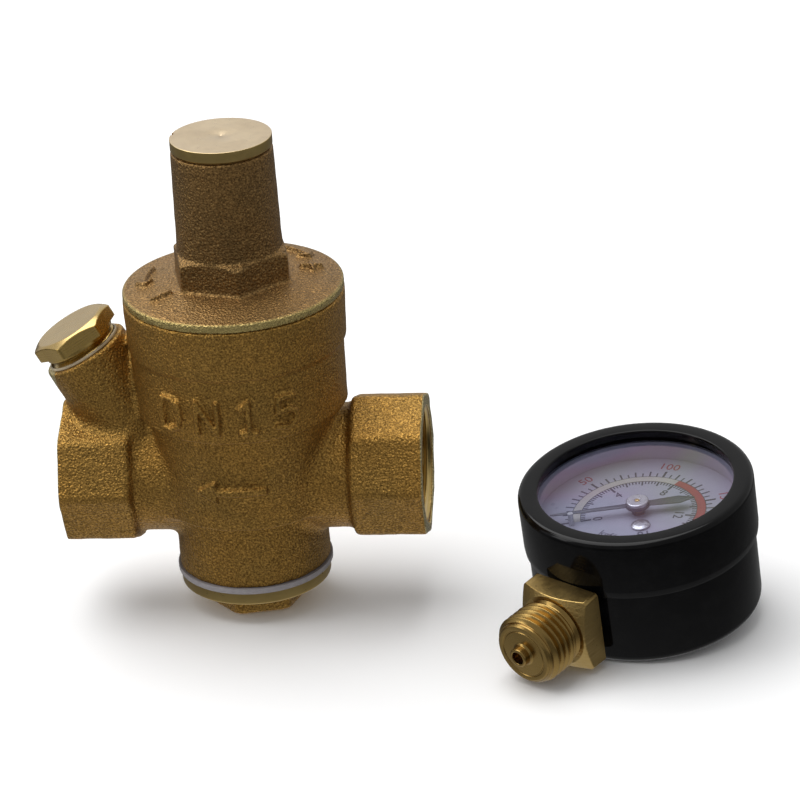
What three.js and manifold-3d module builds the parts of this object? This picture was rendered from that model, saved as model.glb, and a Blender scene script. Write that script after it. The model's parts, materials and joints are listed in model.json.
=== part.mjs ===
// A piston-type pressure reducing valve, DN15, standing on its bottom cap, with its pressure gauge
// lying beside it. Millimetres, +Z up. The origin is the centre of the bottom cap's hexagon on the
// valve's vertical axis; the inlet is at +X, the outlet at -X and the front faces -Y.
import * as THREE from 'three';
import { mergeVertices } from 'three/addons/utils/BufferGeometryUtils.js';
import Module from 'manifold-3d';

const wasm = await Module();
wasm.setup();

// ---- driving dimensions -------------------------------------------------------------------
const GAP = 0.3; // running clearance between pieces that turn, slide or screw into each other
const SEAM = 0.1; // clearance between pieces that rest on each other in a tilted group
const CUT = 1; // how far a cutter runs past the face it opens

const PIPE_Z = 26;
const FACE_X = 33; // end faces of the body, 66 mm apart
const OCTAGON_R = 13.7;
const OCTAGON_X = 20; // where the octagon ends and its shoulder begins
const PIPE_NECK_R = 11.5;
const PIPE_THREAD_R = 9.9; // G1/2, mean of the thread's crest and root
const PIPE_THREAD_DEPTH = 12.5;
const PASSAGE_R = 5.5;
const INLET_PASSAGE_Z = 20;
const OUTLET_PASSAGE_Z = 31;

const HEX_HEIGHT = 4.5; // the bottom cap's cast hexagon
const FLANGE_TOP = 6.9;
const BODY_BOTTOM = 8;
const CAP_FLANGE_R = 13.8;
const CAP_THREAD_R = 12;
const CAP_THREAD_TOP = 14;
const CHAMBER_R = 11;
const PARTITION = [23, 27]; // bottom and top of the wall that carries the seat
const SEAT_R = 6;
const SEAT_LIP = 0.8;
const GUIDE_WALL = [35, 39];
const CYLINDER_R = 15;
const CYLINDER_TOP = 54;
const BONNET_THREAD_R = 17.4;
const BODY_TOP = 60.8;

const STEM_R = 3;
const STEM_SCREW_R = 2.4;
const PISTON = [41, 48]; // bottom and top
const STROKE = 3; // from fully open at rest to closed on the seat
const DISC_TOP = PARTITION[0] - SEAT_LIP - STROKE - 0.2;

const NECK_TOP = 88;
const NECK_BORE_R = 7.4;
const CAP_TOP = 90.3;
const SEAT_PLATE = [76.2, 77.9];
const SCREW_TOP = 83.5;
const SPRING_MEAN_R = 5.9;
const SPRING_WIRE_R = 1;
const SPRING_COILS = 7;

const PORT_FACE = [-28.083, 0, 50.096]; // centre of the gauge port's boss face
const PORT_TILT = THREE.MathUtils.degToRad(-27.5); // from vertical, toward the outlet
const BOSS_R = 7.95;
const PORT_THREAD_R = 6.58; // G1/4
const PORT_THREAD_DEPTH = 8;
const SENSE_R = 2.5;

const GAUGE_PLACE = [72.7, -9.1, 2.38];
const GAUGE_TURN = THREE.MathUtils.degToRad(-36.8);
const GAUGE_TILT = THREE.MathUtils.degToRad(7); // its heavy stem tips it forward onto its rim
const CASE_R = 20.4;
const CASE_INNER_R = 18;
const CASE_BACK = 2.2;
const CASE_TOP = 22;
const BEZEL_R = 21.1;
const BEZEL_BOTTOM = 14;
const GAUGE_TOP = 25;
const WINDOW = [22.1, 23.5];
const WINDOW_R = 20.1;
const SIGHT_R = 17.5;
const DIAL = [17.8, 18.5];
const DIAL_R = 18.8;
const STEM_Z = 8.7; // height of the gauge stem's centre above the back of the case
const WRENCH_END = 26.2; // front face of the stem's square, from the gauge's centre
const STEM_END = 34.6; // end of its thread
const NOZZLE_REACH = 1.7; // how far the nozzle sticks out beyond the thread
const PLATE_LOW = [9.7, 10.7];
const PLATE_HIGH = [15.6, 16.6];
const SECTOR_PIVOT_Y = -10.5;
const PINION_PITCH_R = 1.5;
const SECTOR_PITCH_R = 9;
const SECTOR_Z = [12.6, 13.4];
const LINK_Z = [13.6, 14.1];
const POINTER_Z = [20.1, 20.4];
const TAIL_LENGTH = 5;
const POINTER_REST = THREE.MathUtils.degToRad(222);

// ---- materials ----------------------------------------------------------------------------
const finish = (color, roughness, metalness) => new THREE.MeshStandardMaterial({ color, roughness, metalness });
const castBrass = finish(0x8a6a3a, 0.55, 1);
const turnedBrass = finish(0xc8a877, 0.3, 1);
const steel = finish(0xb4b6b8, 0.3, 1);
const springSteel = finish(0x70757c, 0.4, 1);
const blackRubber = finish(0x161616, 0.8, 0);
const greyFibre = finish(0x8d8a94, 0.8, 0);
const creamFibre = finish(0xd9cfb4, 0.8, 0);
const blackPlastic = finish(0x101012, 0.25, 0);
const clearPlastic = new THREE.MeshStandardMaterial({
  color: 0xf4f7f8,
  roughness: 0.05,
  metalness: 0,
  transparent: true,
  opacity: 0.25,
});
const dialWhite = finish(0xdcdce6, 0.4, 0);
const pointerGrey = finish(0x2b2b30, 0.4, 0);

// ---- shapes -------------------------------------------------------------------------------
// A turned solid about Z from a closed outline of [radius, height] points.
function turned(outline, sides = 40) {
  const points = [...outline, outline[0]].map(([r, z]) => new THREE.Vector2(r, z));
  return new THREE.LatheGeometry(points, sides).rotateX(Math.PI / 2);
}

function disc(radius, bottom, top, sides = 36) {
  return new THREE.CylinderGeometry(radius, radius, top - bottom, sides)
    .rotateX(Math.PI / 2)
    .translate(0, 0, (bottom + top) / 2);
}

function cone(bottomRadius, topRadius, bottom, top, sides = 36) {
  return new THREE.CylinderGeometry(topRadius, bottomRadius, top - bottom, sides)
    .rotateX(Math.PI / 2)
    .translate(0, 0, (bottom + top) / 2);
}

// A hexagonal prism about Z; turn is the angle of one corner from the front, toward +X.
function hexagon(acrossFlats, bottom, top, turn = 0) {
  return disc(acrossFlats / Math.sqrt(3), bottom, top, 6).rotateZ(THREE.MathUtils.degToRad(turn));
}

// An O-ring or other round ring about Z.
function ring(meanRadius, wireRadius, z, sides = 30, wireSides = 6) {
  return new THREE.TorusGeometry(meanRadius, wireRadius, wireSides, sides).translate(0, 0, z);
}

function box(x, y, z) {
  return new THREE.BoxGeometry(x[1] - x[0], y[1] - y[0], z[1] - z[0]).translate(
    (x[0] + x[1]) / 2,
    (y[0] + y[1]) / 2,
    (z[0] + z[1]) / 2,
  );
}

// A flat outline pulled up from one height to another.
function plate(shape, bottom, top, curveSegments = 24) {
  return new THREE.ExtrudeGeometry(shape, { depth: top - bottom, bevelEnabled: false, curveSegments }).translate(
    0,
    0,
    bottom,
  );
}

// Lays a solid about Z along +X, and along -Y.
const alongX = (geometry) => geometry.rotateY(Math.PI / 2);
const alongMinusY = (geometry) => geometry.rotateX(Math.PI / 2);

// ---- joining and cutting ------------------------------------------------------------------
function solid(geometry) {
  const bare = geometry.clone();
  bare.deleteAttribute('normal');
  bare.deleteAttribute('uv');
  const merged = mergeVertices(bare, 1e-4);
  const corners = merged.attributes.position.array;
  const faces = Array.from(merged.index.array);
  const kept = [];
  for (let i = 0; i < faces.length; i += 3) {
    const [a, b, c] = faces.slice(i, i + 3);
    if (a !== b && b !== c && c !== a) kept.push(a, b, c);
  }
  if (volumeOf(corners, kept) < 0) kept.reverse();
  return new wasm.Manifold(
    new wasm.Mesh({ numProp: 3, vertProperties: new Float32Array(corners), triVerts: new Uint32Array(kept) }),
  );
}

function volumeOf(corners, faces) {
  const [a, b, c] = [new THREE.Vector3(), new THREE.Vector3(), new THREE.Vector3()];
  let total = 0;
  for (let i = 0; i < faces.length; i += 3) {
    a.fromArray(corners, 3 * faces[i]);
    b.fromArray(corners, 3 * faces[i + 1]);
    c.fromArray(corners, 3 * faces[i + 2]);
    total += a.dot(b.cross(c));
  }
  return total / 6;
}

function geometryOf(manifold) {
  const mesh = manifold.getMesh();
  const geometry = new THREE.BufferGeometry();
  geometry.setAttribute('position', new THREE.BufferAttribute(mesh.vertProperties, 3));
  geometry.setIndex(new THREE.BufferAttribute(mesh.triVerts, 1));
  geometry.computeVertexNormals();
  return geometry;
}

// The join of some geometries with others cut out of it, as one geometry.
function carve(joined, removed = []) {
  let result = joined.map(solid).reduce((sum, next) => sum.add(next));
  for (const cutter of removed) result = result.subtract(solid(cutter));
  return geometryOf(result);
}

const valve = new THREE.Group();
const gauge = new THREE.Group();
gauge.position.set(...GAUGE_PLACE);
gauge.rotation.set(GAUGE_TILT, 0, GAUGE_TURN, 'ZYX');

function add(group, name, geometry, material) {
  const mesh = new THREE.Mesh(geometry, material);
  mesh.name = name;
  group.add(mesh);
  return mesh;
}

// ---- valve body ---------------------------------------------------------------------------
// Moves a solid built about the port's own axis, with its boss face at height 0, into place.
function intoPort(geometry) {
  return geometry.rotateY(PORT_TILT).translate(...PORT_FACE);
}

function castOutside() {
  const barrel = turned([
    [0, BODY_BOTTOM],
    [13.9, BODY_BOTTOM],
    [13.9, 20.2],
    [16.6, 20.9],
    [17.3, 38.6],
    [19, 39.4],
    [19, 51],
    [19.6, 51.8],
    [20, BODY_TOP],
    [0, BODY_TOP],
  ]);
  const parts = [barrel];
  for (const side of [-1, 1]) {
    const octagon = alongX(disc(OCTAGON_R, OCTAGON_X, FACE_X, 8));
    const shoulder = alongX(cone(PIPE_NECK_R, OCTAGON_R, OCTAGON_X - 2, OCTAGON_X, 8));
    const neck = alongX(disc(PIPE_NECK_R, 0, OCTAGON_X, 32));
    for (const part of [octagon, shoulder, neck]) {
      parts.push(part.rotateZ(side < 0 ? Math.PI : 0).translate(0, 0, PIPE_Z));
    }
  }
  parts.push(intoPort(disc(BOSS_R, -20, 0, 32)));
  return parts;
}

function pipeSide(side, passageZ) {
  const socketEnd = FACE_X - PIPE_THREAD_DEPTH;
  const socket = disc(PIPE_THREAD_R, socketEnd, FACE_X + CUT, 40);
  const chamfer = cone(PIPE_THREAD_R, 10.6 + CUT, FACE_X - 0.7, FACE_X + CUT, 40);
  const pipe = [socket, chamfer].map((part) => alongX(part).translate(0, 0, PIPE_Z));
  const passage = alongX(disc(PASSAGE_R, 8, socketEnd + CUT, 24)).translate(0, 0, passageZ);
  return [...pipe, passage].map((part) => part.rotateZ(side < 0 ? Math.PI : 0));
}

function bodyBores() {
  const lip = turned([
    [SEAT_R + 1.2, PARTITION[0] - SEAT_LIP],
    [CHAMBER_R, PARTITION[0] - SEAT_LIP],
    [CHAMBER_R, PARTITION[0]],
    [SEAT_R + 1.6, PARTITION[0]],
  ]);
  return [
    disc(CAP_THREAD_R, BODY_BOTTOM - CUT, CAP_THREAD_TOP),
    disc(CHAMBER_R, CAP_THREAD_TOP - CUT, PARTITION[0] - SEAT_LIP),
    lip,
    disc(SEAT_R, PARTITION[0] - SEAT_LIP - CUT, PARTITION[1] + CUT, 32),
    disc(CHAMBER_R, PARTITION[1], GUIDE_WALL[0]),
    disc(STEM_R + GAP, GUIDE_WALL[0] - CUT, GUIDE_WALL[1] + CUT, 24),
    disc(STEM_R + 1.7, 36.2, 37.8, 24),
    disc(1, GUIDE_WALL[0] - CUT, GUIDE_WALL[1] + CUT, 12).translate(0, 7.5, 0),
    disc(CYLINDER_R, GUIDE_WALL[1], CYLINDER_TOP + CUT),
    disc(BONNET_THREAD_R, CYLINDER_TOP, BODY_TOP + CUT),
    disc(18.6, BODY_TOP - 1.4, BODY_TOP + CUT),
    intoPort(disc(PORT_THREAD_R, -PORT_THREAD_DEPTH, CUT, 32)),
    intoPort(disc(SENSE_R, -22, -PORT_THREAD_DEPTH + CUT, 16)),
  ];
}

function makeBody() {
  const cuts = [...bodyBores(), ...pipeSide(1, INLET_PASSAGE_Z), ...pipeSide(-1, OUTLET_PASSAGE_Z)];
  add(valve, 'valve_body', carve(castOutside(), cuts), castBrass);
}

// ---- bonnet, cap and adjusting gear -------------------------------------------------------
function makeBonnet() {
  const spigot = BONNET_THREAD_R - GAP;
  const outside = turned([
    [0, CYLINDER_TOP + 0.6],
    [spigot, CYLINDER_TOP + 0.6],
    [spigot, 59.2],
    [spigot - 0.3, BODY_TOP],
    [19.6, BODY_TOP],
    [19.6, 62.4],
    [11.5, 63.7],
    [9.4, 69.2],
    [9.1, NECK_TOP],
    [0, NECK_TOP],
  ]);
  const chamber = turned([
    [0, CYLINDER_TOP - CUT],
    [14, CYLINDER_TOP - CUT],
    [14, 60],
    [NECK_BORE_R, 64],
    [NECK_BORE_R, NECK_TOP + CUT],
    [0, NECK_TOP + CUT],
  ]);
  add(valve, 'bonnet', carve([outside, hexagon(19, 62.8, 69.2, 14)], [chamber]), castBrass);
  add(valve, 'bonnet_oring', ring(17.8, 0.65, BODY_TOP - 0.7), blackRubber);
}

function makeTopCap() {
  const outline = [
    [0, 85.1],
    [7.1, 85.1],
    [7.1, 85.8],
    [5.9, 85.8],
    [5.9, 87.2],
    [7.1, 87.2],
    [7.1, NECK_TOP],
    [8.3, NECK_TOP],
    [8.3, NECK_TOP + 0.6],
    [9, NECK_TOP + 0.6],
    [9, CAP_TOP - 0.3],
    [8.7, CAP_TOP],
    [0, CAP_TOP],
  ];
  const slot = box([-9.5, -7.9], [-1, 1], [CAP_TOP - 0.8, CAP_TOP + CUT]);
  add(valve, 'top_cap', carve([turned(outline, 40)], [slot]), turnedBrass);
  add(valve, 'top_cap_oring', ring(6.62, 0.6, 86.5), blackRubber);
}

function makeAdjuster() {
  const thread = disc(NECK_BORE_R - GAP, SEAT_PLATE[1], SCREW_TOP, 32);
  const key = hexagon(6, SEAT_PLATE[1] + 1.5, SCREW_TOP + CUT);
  add(valve, 'adjusting_screw', carve([thread], [key]), turnedBrass);
  const plateOutline = [
    [0, SEAT_PLATE[0] - 1.2],
    [4.2, SEAT_PLATE[0] - 1.2],
    [4.4, SEAT_PLATE[0]],
    [6.9, SEAT_PLATE[0]],
    [6.9, SEAT_PLATE[1]],
    [0, SEAT_PLATE[1]],
  ];
  add(valve, 'upper_spring_seat', turned(plateOutline, 32), steel);
}

class Helix extends THREE.Curve {
  constructor(radius, bottom, top, turns) {
    super();
    Object.assign(this, { radius, bottom, top, turns });
  }

  // The first and last coil lie nearly flat, as on a spring with closed ends.
  getPoint(t, target = new THREE.Vector3()) {
    const angle = 2 * Math.PI * this.turns * t;
    const closed = 0.5 - 0.5 * Math.cos(Math.PI * t);
    const rise = 0.55 * t + 0.45 * closed;
    return target.set(
      this.radius * Math.cos(angle),
      this.radius * Math.sin(angle),
      this.bottom + (this.top - this.bottom) * rise,
    );
  }
}

function makeSpring() {
  const seat = PISTON[1] - 1; // the spring stands in a recess of the piston
  const low = seat + SPRING_WIRE_R + GAP;
  const high = SEAT_PLATE[0] - SPRING_WIRE_R - GAP;
  const wire = new THREE.Shape().absarc(0, 0, SPRING_WIRE_R, 0, 2 * Math.PI);
  const coil = new THREE.ExtrudeGeometry(wire, {
    extrudePath: new Helix(SPRING_MEAN_R, low, high, SPRING_COILS),
    steps: SPRING_COILS * 14,
    curveSegments: 4,
    bevelEnabled: false,
  });
  add(valve, 'main_spring', geometryOf(solid(coil)), springSteel);
}

// ---- piston, stem and disc ----------------------------------------------------------------
function makePiston() {
  const body = turned([
    [0, PISTON[0] - 1.5],
    [5, PISTON[0] - 1.5],
    [5, PISTON[0]],
    [CYLINDER_R - 0.2, PISTON[0]],
    [CYLINDER_R - 0.2, 43.5],
    [12.8, 43.5],
    [12.8, 45.5],
    [CYLINDER_R - 0.2, 45.5],
    [CYLINDER_R - 0.2, PISTON[1]],
    [0, PISTON[1]],
  ]);
  const recess = disc(7.3, PISTON[1] - 1, PISTON[1] + CUT, 32);
  const screwHole = disc(STEM_SCREW_R + GAP, PISTON[0] - CUT, PISTON[1], 20);
  const hubHole = disc(STEM_R + GAP, PISTON[0] - 1.5 - CUT, PISTON[0], 20);
  add(valve, 'piston', carve([body], [recess, screwHole, hubHole]), turnedBrass);
  add(valve, 'piston_oring', ring(13.9, 0.85, 44.5), blackRubber);
  const nut = carve([hexagon(7, 47, 50)], [disc(STEM_SCREW_R + GAP, 46, 51, 20)]);
  add(valve, 'piston_nut', nut, steel);
}

function makeStem() {
  const outline = [
    [0, 15.3],
    [STEM_R, 15.3],
    [STEM_R, PISTON[0]],
    [STEM_SCREW_R, PISTON[0]],
    [STEM_SCREW_R, 51.2],
    [0, 51.5],
  ];
  add(valve, 'valve_stem', turned(outline, 20), steel);
  add(valve, 'stem_guide_oring', ring(3.93, 0.6, 37, 28), blackRubber);
}

function makeDisc() {
  const holder = turned(
    [
      [0, 6],
      [3.9, 6],
      [3.9, 13.5],
      [8.6, 14.5],
      [8.6, DISC_TOP],
      [8.1, DISC_TOP],
      [8.1, DISC_TOP - 2],
      [STEM_R + GAP, DISC_TOP - 2],
      [STEM_R + GAP, 15],
      [0, 15],
    ],
    40,
  );
  add(valve, 'disc_holder', holder, turnedBrass);
  const rubber = [
    [STEM_R + GAP, DISC_TOP - 2],
    [7.9, DISC_TOP - 2],
    [7.9, DISC_TOP],
    [STEM_R + GAP, DISC_TOP],
  ];
  add(valve, 'valve_disc', turned(rubber, 32), blackRubber);
  const washer = [
    [STEM_R + GAP, DISC_TOP],
    [5.2, DISC_TOP],
    [5.2, DISC_TOP + 0.8],
    [STEM_R + GAP, DISC_TOP + 0.8],
  ];
  add(valve, 'disc_washer', turned(washer, 32), steel);
  const nutHole = disc(STEM_R + GAP, 19, 23, 20);
  const nut = carve([hexagon(8.6, DISC_TOP + 0.8, DISC_TOP + 3)], [nutHole]);
  add(valve, 'disc_nut', nut, steel);
}

// ---- bottom cap ---------------------------------------------------------------------------
function makeBottomCap() {
  const upper = turned([
    [0, HEX_HEIGHT],
    [CAP_FLANGE_R - 0.3, HEX_HEIGHT],
    [CAP_FLANGE_R, HEX_HEIGHT + 0.3],
    [CAP_FLANGE_R, FLANGE_TOP],
    [CAP_THREAD_R - GAP, FLANGE_TOP],
    [CAP_THREAD_R - GAP, 13],
    [0, 13],
  ]);
  const guide = disc(4.2, 3.5, 13 + CUT, 24);
  const groove = disc(5.7, 9.6, 11.2, 24);
  const cap = carve([upper, hexagon(17, 0, HEX_HEIGHT + CUT, -17)], [guide, groove]);
  add(valve, 'bottom_cap', cap, turnedBrass);
  const gasket = [
    [CAP_THREAD_R + 0.1, FLANGE_TOP],
    [14.3, FLANGE_TOP],
    [14.3, BODY_BOTTOM],
    [CAP_THREAD_R + 0.1, BODY_BOTTOM],
  ];
  add(valve, 'bottom_gasket', turned(gasket), greyFibre);
  add(valve, 'balance_oring', ring(4.83, 0.6, 10.4, 28), blackRubber);
}

// ---- gauge port plug ----------------------------------------------------------------------
function makePortPlug() {
  const shank = turned(
    [
      [0, -6.8],
      [5.9, -6.8],
      [PORT_THREAD_R - GAP, -6.2],
      [PORT_THREAD_R - GAP, 0.7],
      [PORT_THREAD_R, 0.7],
      [PORT_THREAD_R, 1.6],
      [6.7, 1.6],
      [6.7, 2.4],
      [0, 2.4],
    ],
    32,
  );
  const plug = carve([shank, hexagon(14, 2.3, 5.2, 20)]);
  add(valve, 'port_plug', intoPort(plug), turnedBrass);
  const washer = [
    [PORT_THREAD_R + SEAM, SEAM],
    [7.4, SEAM],
    [7.4, 0.6],
    [PORT_THREAD_R + SEAM, 0.6],
  ];
  add(valve, 'port_plug_washer', intoPort(turned(washer, 32)), creamFibre);
}

// ---- gauge housing ------------------------------------------------------------------------
const CASE_SCREW_Y = [-9, -13];

function makeGaugeCase() {
  const outside = turned(
    [
      [0, 0],
      [CASE_R - 1, 0],
      [CASE_R, 1],
      [CASE_R, CASE_TOP],
      [0, CASE_TOP],
    ],
    48,
  );
  const cavity = disc(CASE_INNER_R, CASE_BACK, CASE_TOP + CUT, 40);
  const dialStep = disc(19, DIAL[0] - SEAM, CASE_TOP + CUT, 40);
  const stemHole = alongMinusY(disc(5 + GAP, 15, 21, 24)).translate(0, 0, STEM_Z);
  const screwHoles = CASE_SCREW_Y.flatMap((y) => [
    disc(2.2, -CUT, 1, 16).translate(0, y, 0),
    disc(1.3, 0, CASE_BACK + CUT, 12).translate(0, y, 0),
  ]);
  add(gauge, 'gauge_case', carve([outside], [cavity, dialStep, stemHole, ...screwHoles]), blackPlastic);
}

function makeBezelAndWindow() {
  const inner = CASE_R + SEAM;
  const bezel = [
    [inner, BEZEL_BOTTOM],
    [BEZEL_R - 0.3, BEZEL_BOTTOM],
    [BEZEL_R, BEZEL_BOTTOM + 0.3],
    [BEZEL_R, GAUGE_TOP - 0.9],
    [BEZEL_R - 0.5, GAUGE_TOP - 0.2],
    [BEZEL_R - 1.1, GAUGE_TOP],
    [SIGHT_R + 0.2, GAUGE_TOP],
    [SIGHT_R, GAUGE_TOP - 0.2],
    [SIGHT_R, WINDOW[1] + SEAM],
    [inner, WINDOW[1] + SEAM],
  ];
  add(gauge, 'gauge_bezel', turned(bezel, 48), blackPlastic);
  add(gauge, 'gauge_window', disc(WINDOW_R, ...WINDOW, 48), clearPlastic);
}

function makeDial() {
  const hole = disc(1.2, DIAL[0] - CUT, DIAL[1] + CUT, 16);
  const screwAt = [4.6 * Math.cos(-0.84), 4.6 * Math.sin(-0.84), 0];
  const screwHole = disc(0.8, DIAL[0] - CUT, DIAL[1] + CUT, 12).translate(...screwAt);
  const pinAt = [12.2 * Math.cos(POINTER_REST + 0.105), 12.2 * Math.sin(POINTER_REST + 0.105), 0];
  const pinHole = disc(0.6, DIAL[0] - CUT, DIAL[1] + CUT, 12).translate(...pinAt);
  add(gauge, 'gauge_dial', carve([disc(DIAL_R, ...DIAL, 40)], [hole, screwHole, pinHole]), dialWhite);
  const screw = turned(
    [
      [0, PLATE_HIGH[1] + SEAM],
      [0.6, PLATE_HIGH[1] + SEAM],
      [0.6, DIAL[1] + SEAM],
      [1.3, DIAL[1] + SEAM],
      [1.1, DIAL[1] + 0.6],
      [0, DIAL[1] + 0.6],
    ],
    16,
  ).translate(...screwAt);
  add(gauge, 'dial_screw', screw, steel);
  add(gauge, 'stop_pin', disc(0.5, DIAL[0], DIAL[1] + 2.4, 12).translate(...pinAt), steel);
}

// ---- gauge socket, tube and movement ------------------------------------------------------
function makeSocket() {
  const shank = disc(5, 14, 22, 24);
  const wrench = box([-7, 7], [-7, 7], [BEZEL_R + GAP, WRENCH_END]);
  const neck = disc(5.6, WRENCH_END - 0.5, WRENCH_END + 1.5, 32);
  const thread = disc(PORT_THREAD_R, WRENCH_END + 1, STEM_END - 1.2, 40);
  const end = cone(PORT_THREAD_R, 5.7, STEM_END - 1.2, STEM_END, 40);
  const nozzle = disc(1.8, STEM_END - 0.5, STEM_END + NOZZLE_REACH, 20);
  const outside = [shank, wrench, neck, thread, end, nozzle].map((part) => alongMinusY(part));
  const block = box([-5.5, 5.5], [-14.8, -7.2], [-5, 0.8]);
  const bore = alongMinusY(disc(1.1, 10, STEM_END + NOZZLE_REACH + CUT, 12));
  const screwHoles = CASE_SCREW_Y.map((y) => disc(1.3, -6, -1.8, 12).translate(0, y, 0));
  const plateHoles = [-3.4, 3.4].map((x) => disc(1, -2.2, 2, 12).translate(x, -11, 0));
  const cuts = [bore, ...screwHoles, ...plateHoles];
  add(gauge, 'gauge_socket', carve([...outside, block], cuts).translate(0, 0, STEM_Z), turnedBrass);
}

function makeScrews() {
  CASE_SCREW_Y.forEach((y, index) => {
    const screw = turned(
      [
        [0, 0.1],
        [1.8, 0.1],
        [1.8, 0.85],
        [1, 0.95],
        [1, 5.4],
        [0, 5.6],
      ],
      16,
    ).translate(0, y, 0);
    add(gauge, `case_screw_${index + 1}`, screw, steel);
  });
  [-3.4, 3.4].forEach((x, index) => {
    const top = PLATE_LOW[1] + SEAM;
    const screw = turned(
      [
        [0, 7.2],
        [0.7, 7.2],
        [0.7, top],
        [1.6, top],
        [1.6, top + 0.9],
        [0, top + 0.9],
      ],
      16,
    ).translate(x, -11, 0);
    add(gauge, `movement_screw_${index + 1}`, screw, steel);
  });
}

const TUBE = { radius: 14, wall: 0.9, bottom: 5.2, top: 12.2, start: -118, end: -20 };
const TIP = [12.4, -4.6];

function makeBourdonTube() {
  const { radius, wall, bottom, top, start, end } = TUBE;
  const from = THREE.MathUtils.degToRad(start);
  const to = THREE.MathUtils.degToRad(end);
  const arc = new THREE.Shape()
    .absarc(0, 0, radius + wall, from, to, true)
    .absarc(0, 0, radius - wall, to, from, false)
    .closePath();
  add(gauge, 'bourdon_tube', geometryOf(solid(plate(arc, bottom, top, 30))), turnedBrass);
  const tip = box([radius - wall - 2.2, radius - wall - GAP], [-1.8, 1.8], [7.6, 13]).rotateZ(to + 0.12);
  add(gauge, 'bourdon_tip', tip, turnedBrass);
}

function movementPlate(low, high) {
  const outline = new THREE.Shape()
    .moveTo(-5.6, -14)
    .lineTo(5.6, -14)
    .lineTo(5.6, 2)
    .absarc(0, 2, 5.6, 0, Math.PI, false)
    .closePath();
  const arborHole = disc(1, low - CUT, high + CUT, 12);
  const sectorHole = disc(0.9, low - CUT, high + CUT, 12).translate(0, SECTOR_PIVOT_Y, 0);
  const screwHoles = [-3.4, 3.4].map((x) => disc(1, low - CUT, high + CUT, 12).translate(x, -11, 0));
  return carve([plate(outline, low, high, 10)], [arborHole, sectorHole, ...screwHoles]);
}

function makeMovement() {
  add(gauge, 'movement_lower_plate', movementPlate(...PLATE_LOW), turnedBrass);
  add(gauge, 'movement_upper_plate', movementPlate(...PLATE_HIGH), turnedBrass);
  [-4, 4].forEach((x, index) => {
    const pillar = disc(0.9, PLATE_LOW[1] + SEAM, PLATE_HIGH[0] - SEAM, 12).translate(x, 4, 0);
    add(gauge, `movement_pillar_${index + 1}`, pillar, turnedBrass);
  });
  const arbor = turned(
    [
      [0, PLATE_LOW[0]],
      [0.7, PLATE_LOW[0]],
      [0.7, SECTOR_Z[0] - 0.4],
      [PINION_PITCH_R - SEAM, SECTOR_Z[0] - 0.4],
      [PINION_PITCH_R - SEAM, SECTOR_Z[1] + 0.6],
      [0.7, SECTOR_Z[1] + 0.6],
      [0.7, POINTER_Z[1]],
      [0, POINTER_Z[1] + 0.1],
    ],
    16,
  );
  add(gauge, 'pinion_arbor', arbor, turnedBrass);
  add(gauge, 'hairspring', hairspring(), springSteel);
}

function hairspring() {
  const turns = 3.25;
  const steps = 42;
  const edge = (offset) =>
    Array.from({ length: steps + 1 }, (_, i) => {
      const angle = (2 * Math.PI * turns * i) / steps;
      const radius = 1.4 + (2 * i) / steps + offset;
      return new THREE.Vector2(radius * Math.cos(angle), radius * Math.sin(angle));
    });
  const outline = new THREE.Shape([...edge(0.09), ...edge(-0.09).reverse()]);
  return plate(outline, 14.5, 15);
}

const SECTOR_REST = THREE.MathUtils.degToRad(-22); // the gear's mid line at rest, from +Y
const TAIL_REST = THREE.MathUtils.degToRad(-30);

function makeSector() {
  const reach = SECTOR_PITCH_R - SEAM;
  const half = THREE.MathUtils.degToRad(28);
  const middle = Math.PI / 2 - SECTOR_REST;
  const gear = new THREE.Shape()
    .absarc(0, 0, reach, middle - half, middle + half, false)
    .lineTo(0, 0)
    .closePath();
  const tail = box([0, TAIL_LENGTH], [-0.9, 0.9], SECTOR_Z).rotateZ(TAIL_REST);
  const shaft = disc(0.6, PLATE_LOW[0], PLATE_HIGH[1], 16);
  const joined = [plate(gear, ...SECTOR_Z, 12), tail, disc(1.6, ...SECTOR_Z, 20), shaft, tailEye()];
  const hole = disc(0.7, SECTOR_Z[0] - CUT, SECTOR_Z[1] + CUT, 12).translate(...tailEnd());
  add(gauge, 'sector_gear', carve(joined, [hole]).translate(0, SECTOR_PIVOT_Y, 0), turnedBrass);
}

function tailEnd() {
  return [TAIL_LENGTH * Math.cos(TAIL_REST), TAIL_LENGTH * Math.sin(TAIL_REST), 0];
}

function tailEye() {
  return disc(1.3, ...SECTOR_Z, 16).translate(...tailEnd());
}

function makeLink() {
  const [x, y] = tailEnd();
  const start = new THREE.Vector2(x, y + SECTOR_PIVOT_Y);
  const reach = new THREE.Vector2(...TIP).sub(start);
  const bar = box([0, reach.length()], [-0.6, 0.6], LINK_Z).rotateZ(reach.angle());
  const ends = [disc(1, ...LINK_Z, 16), disc(1, ...LINK_Z, 16).translate(reach.x, reach.y, 0)];
  const pin = disc(0.4, SECTOR_Z[0] - 0.6, LINK_Z[0] + 0.2, 12);
  add(gauge, 'tip_link', carve([bar, ...ends, pin]).translate(start.x, start.y, 0), steel);
}

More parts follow.
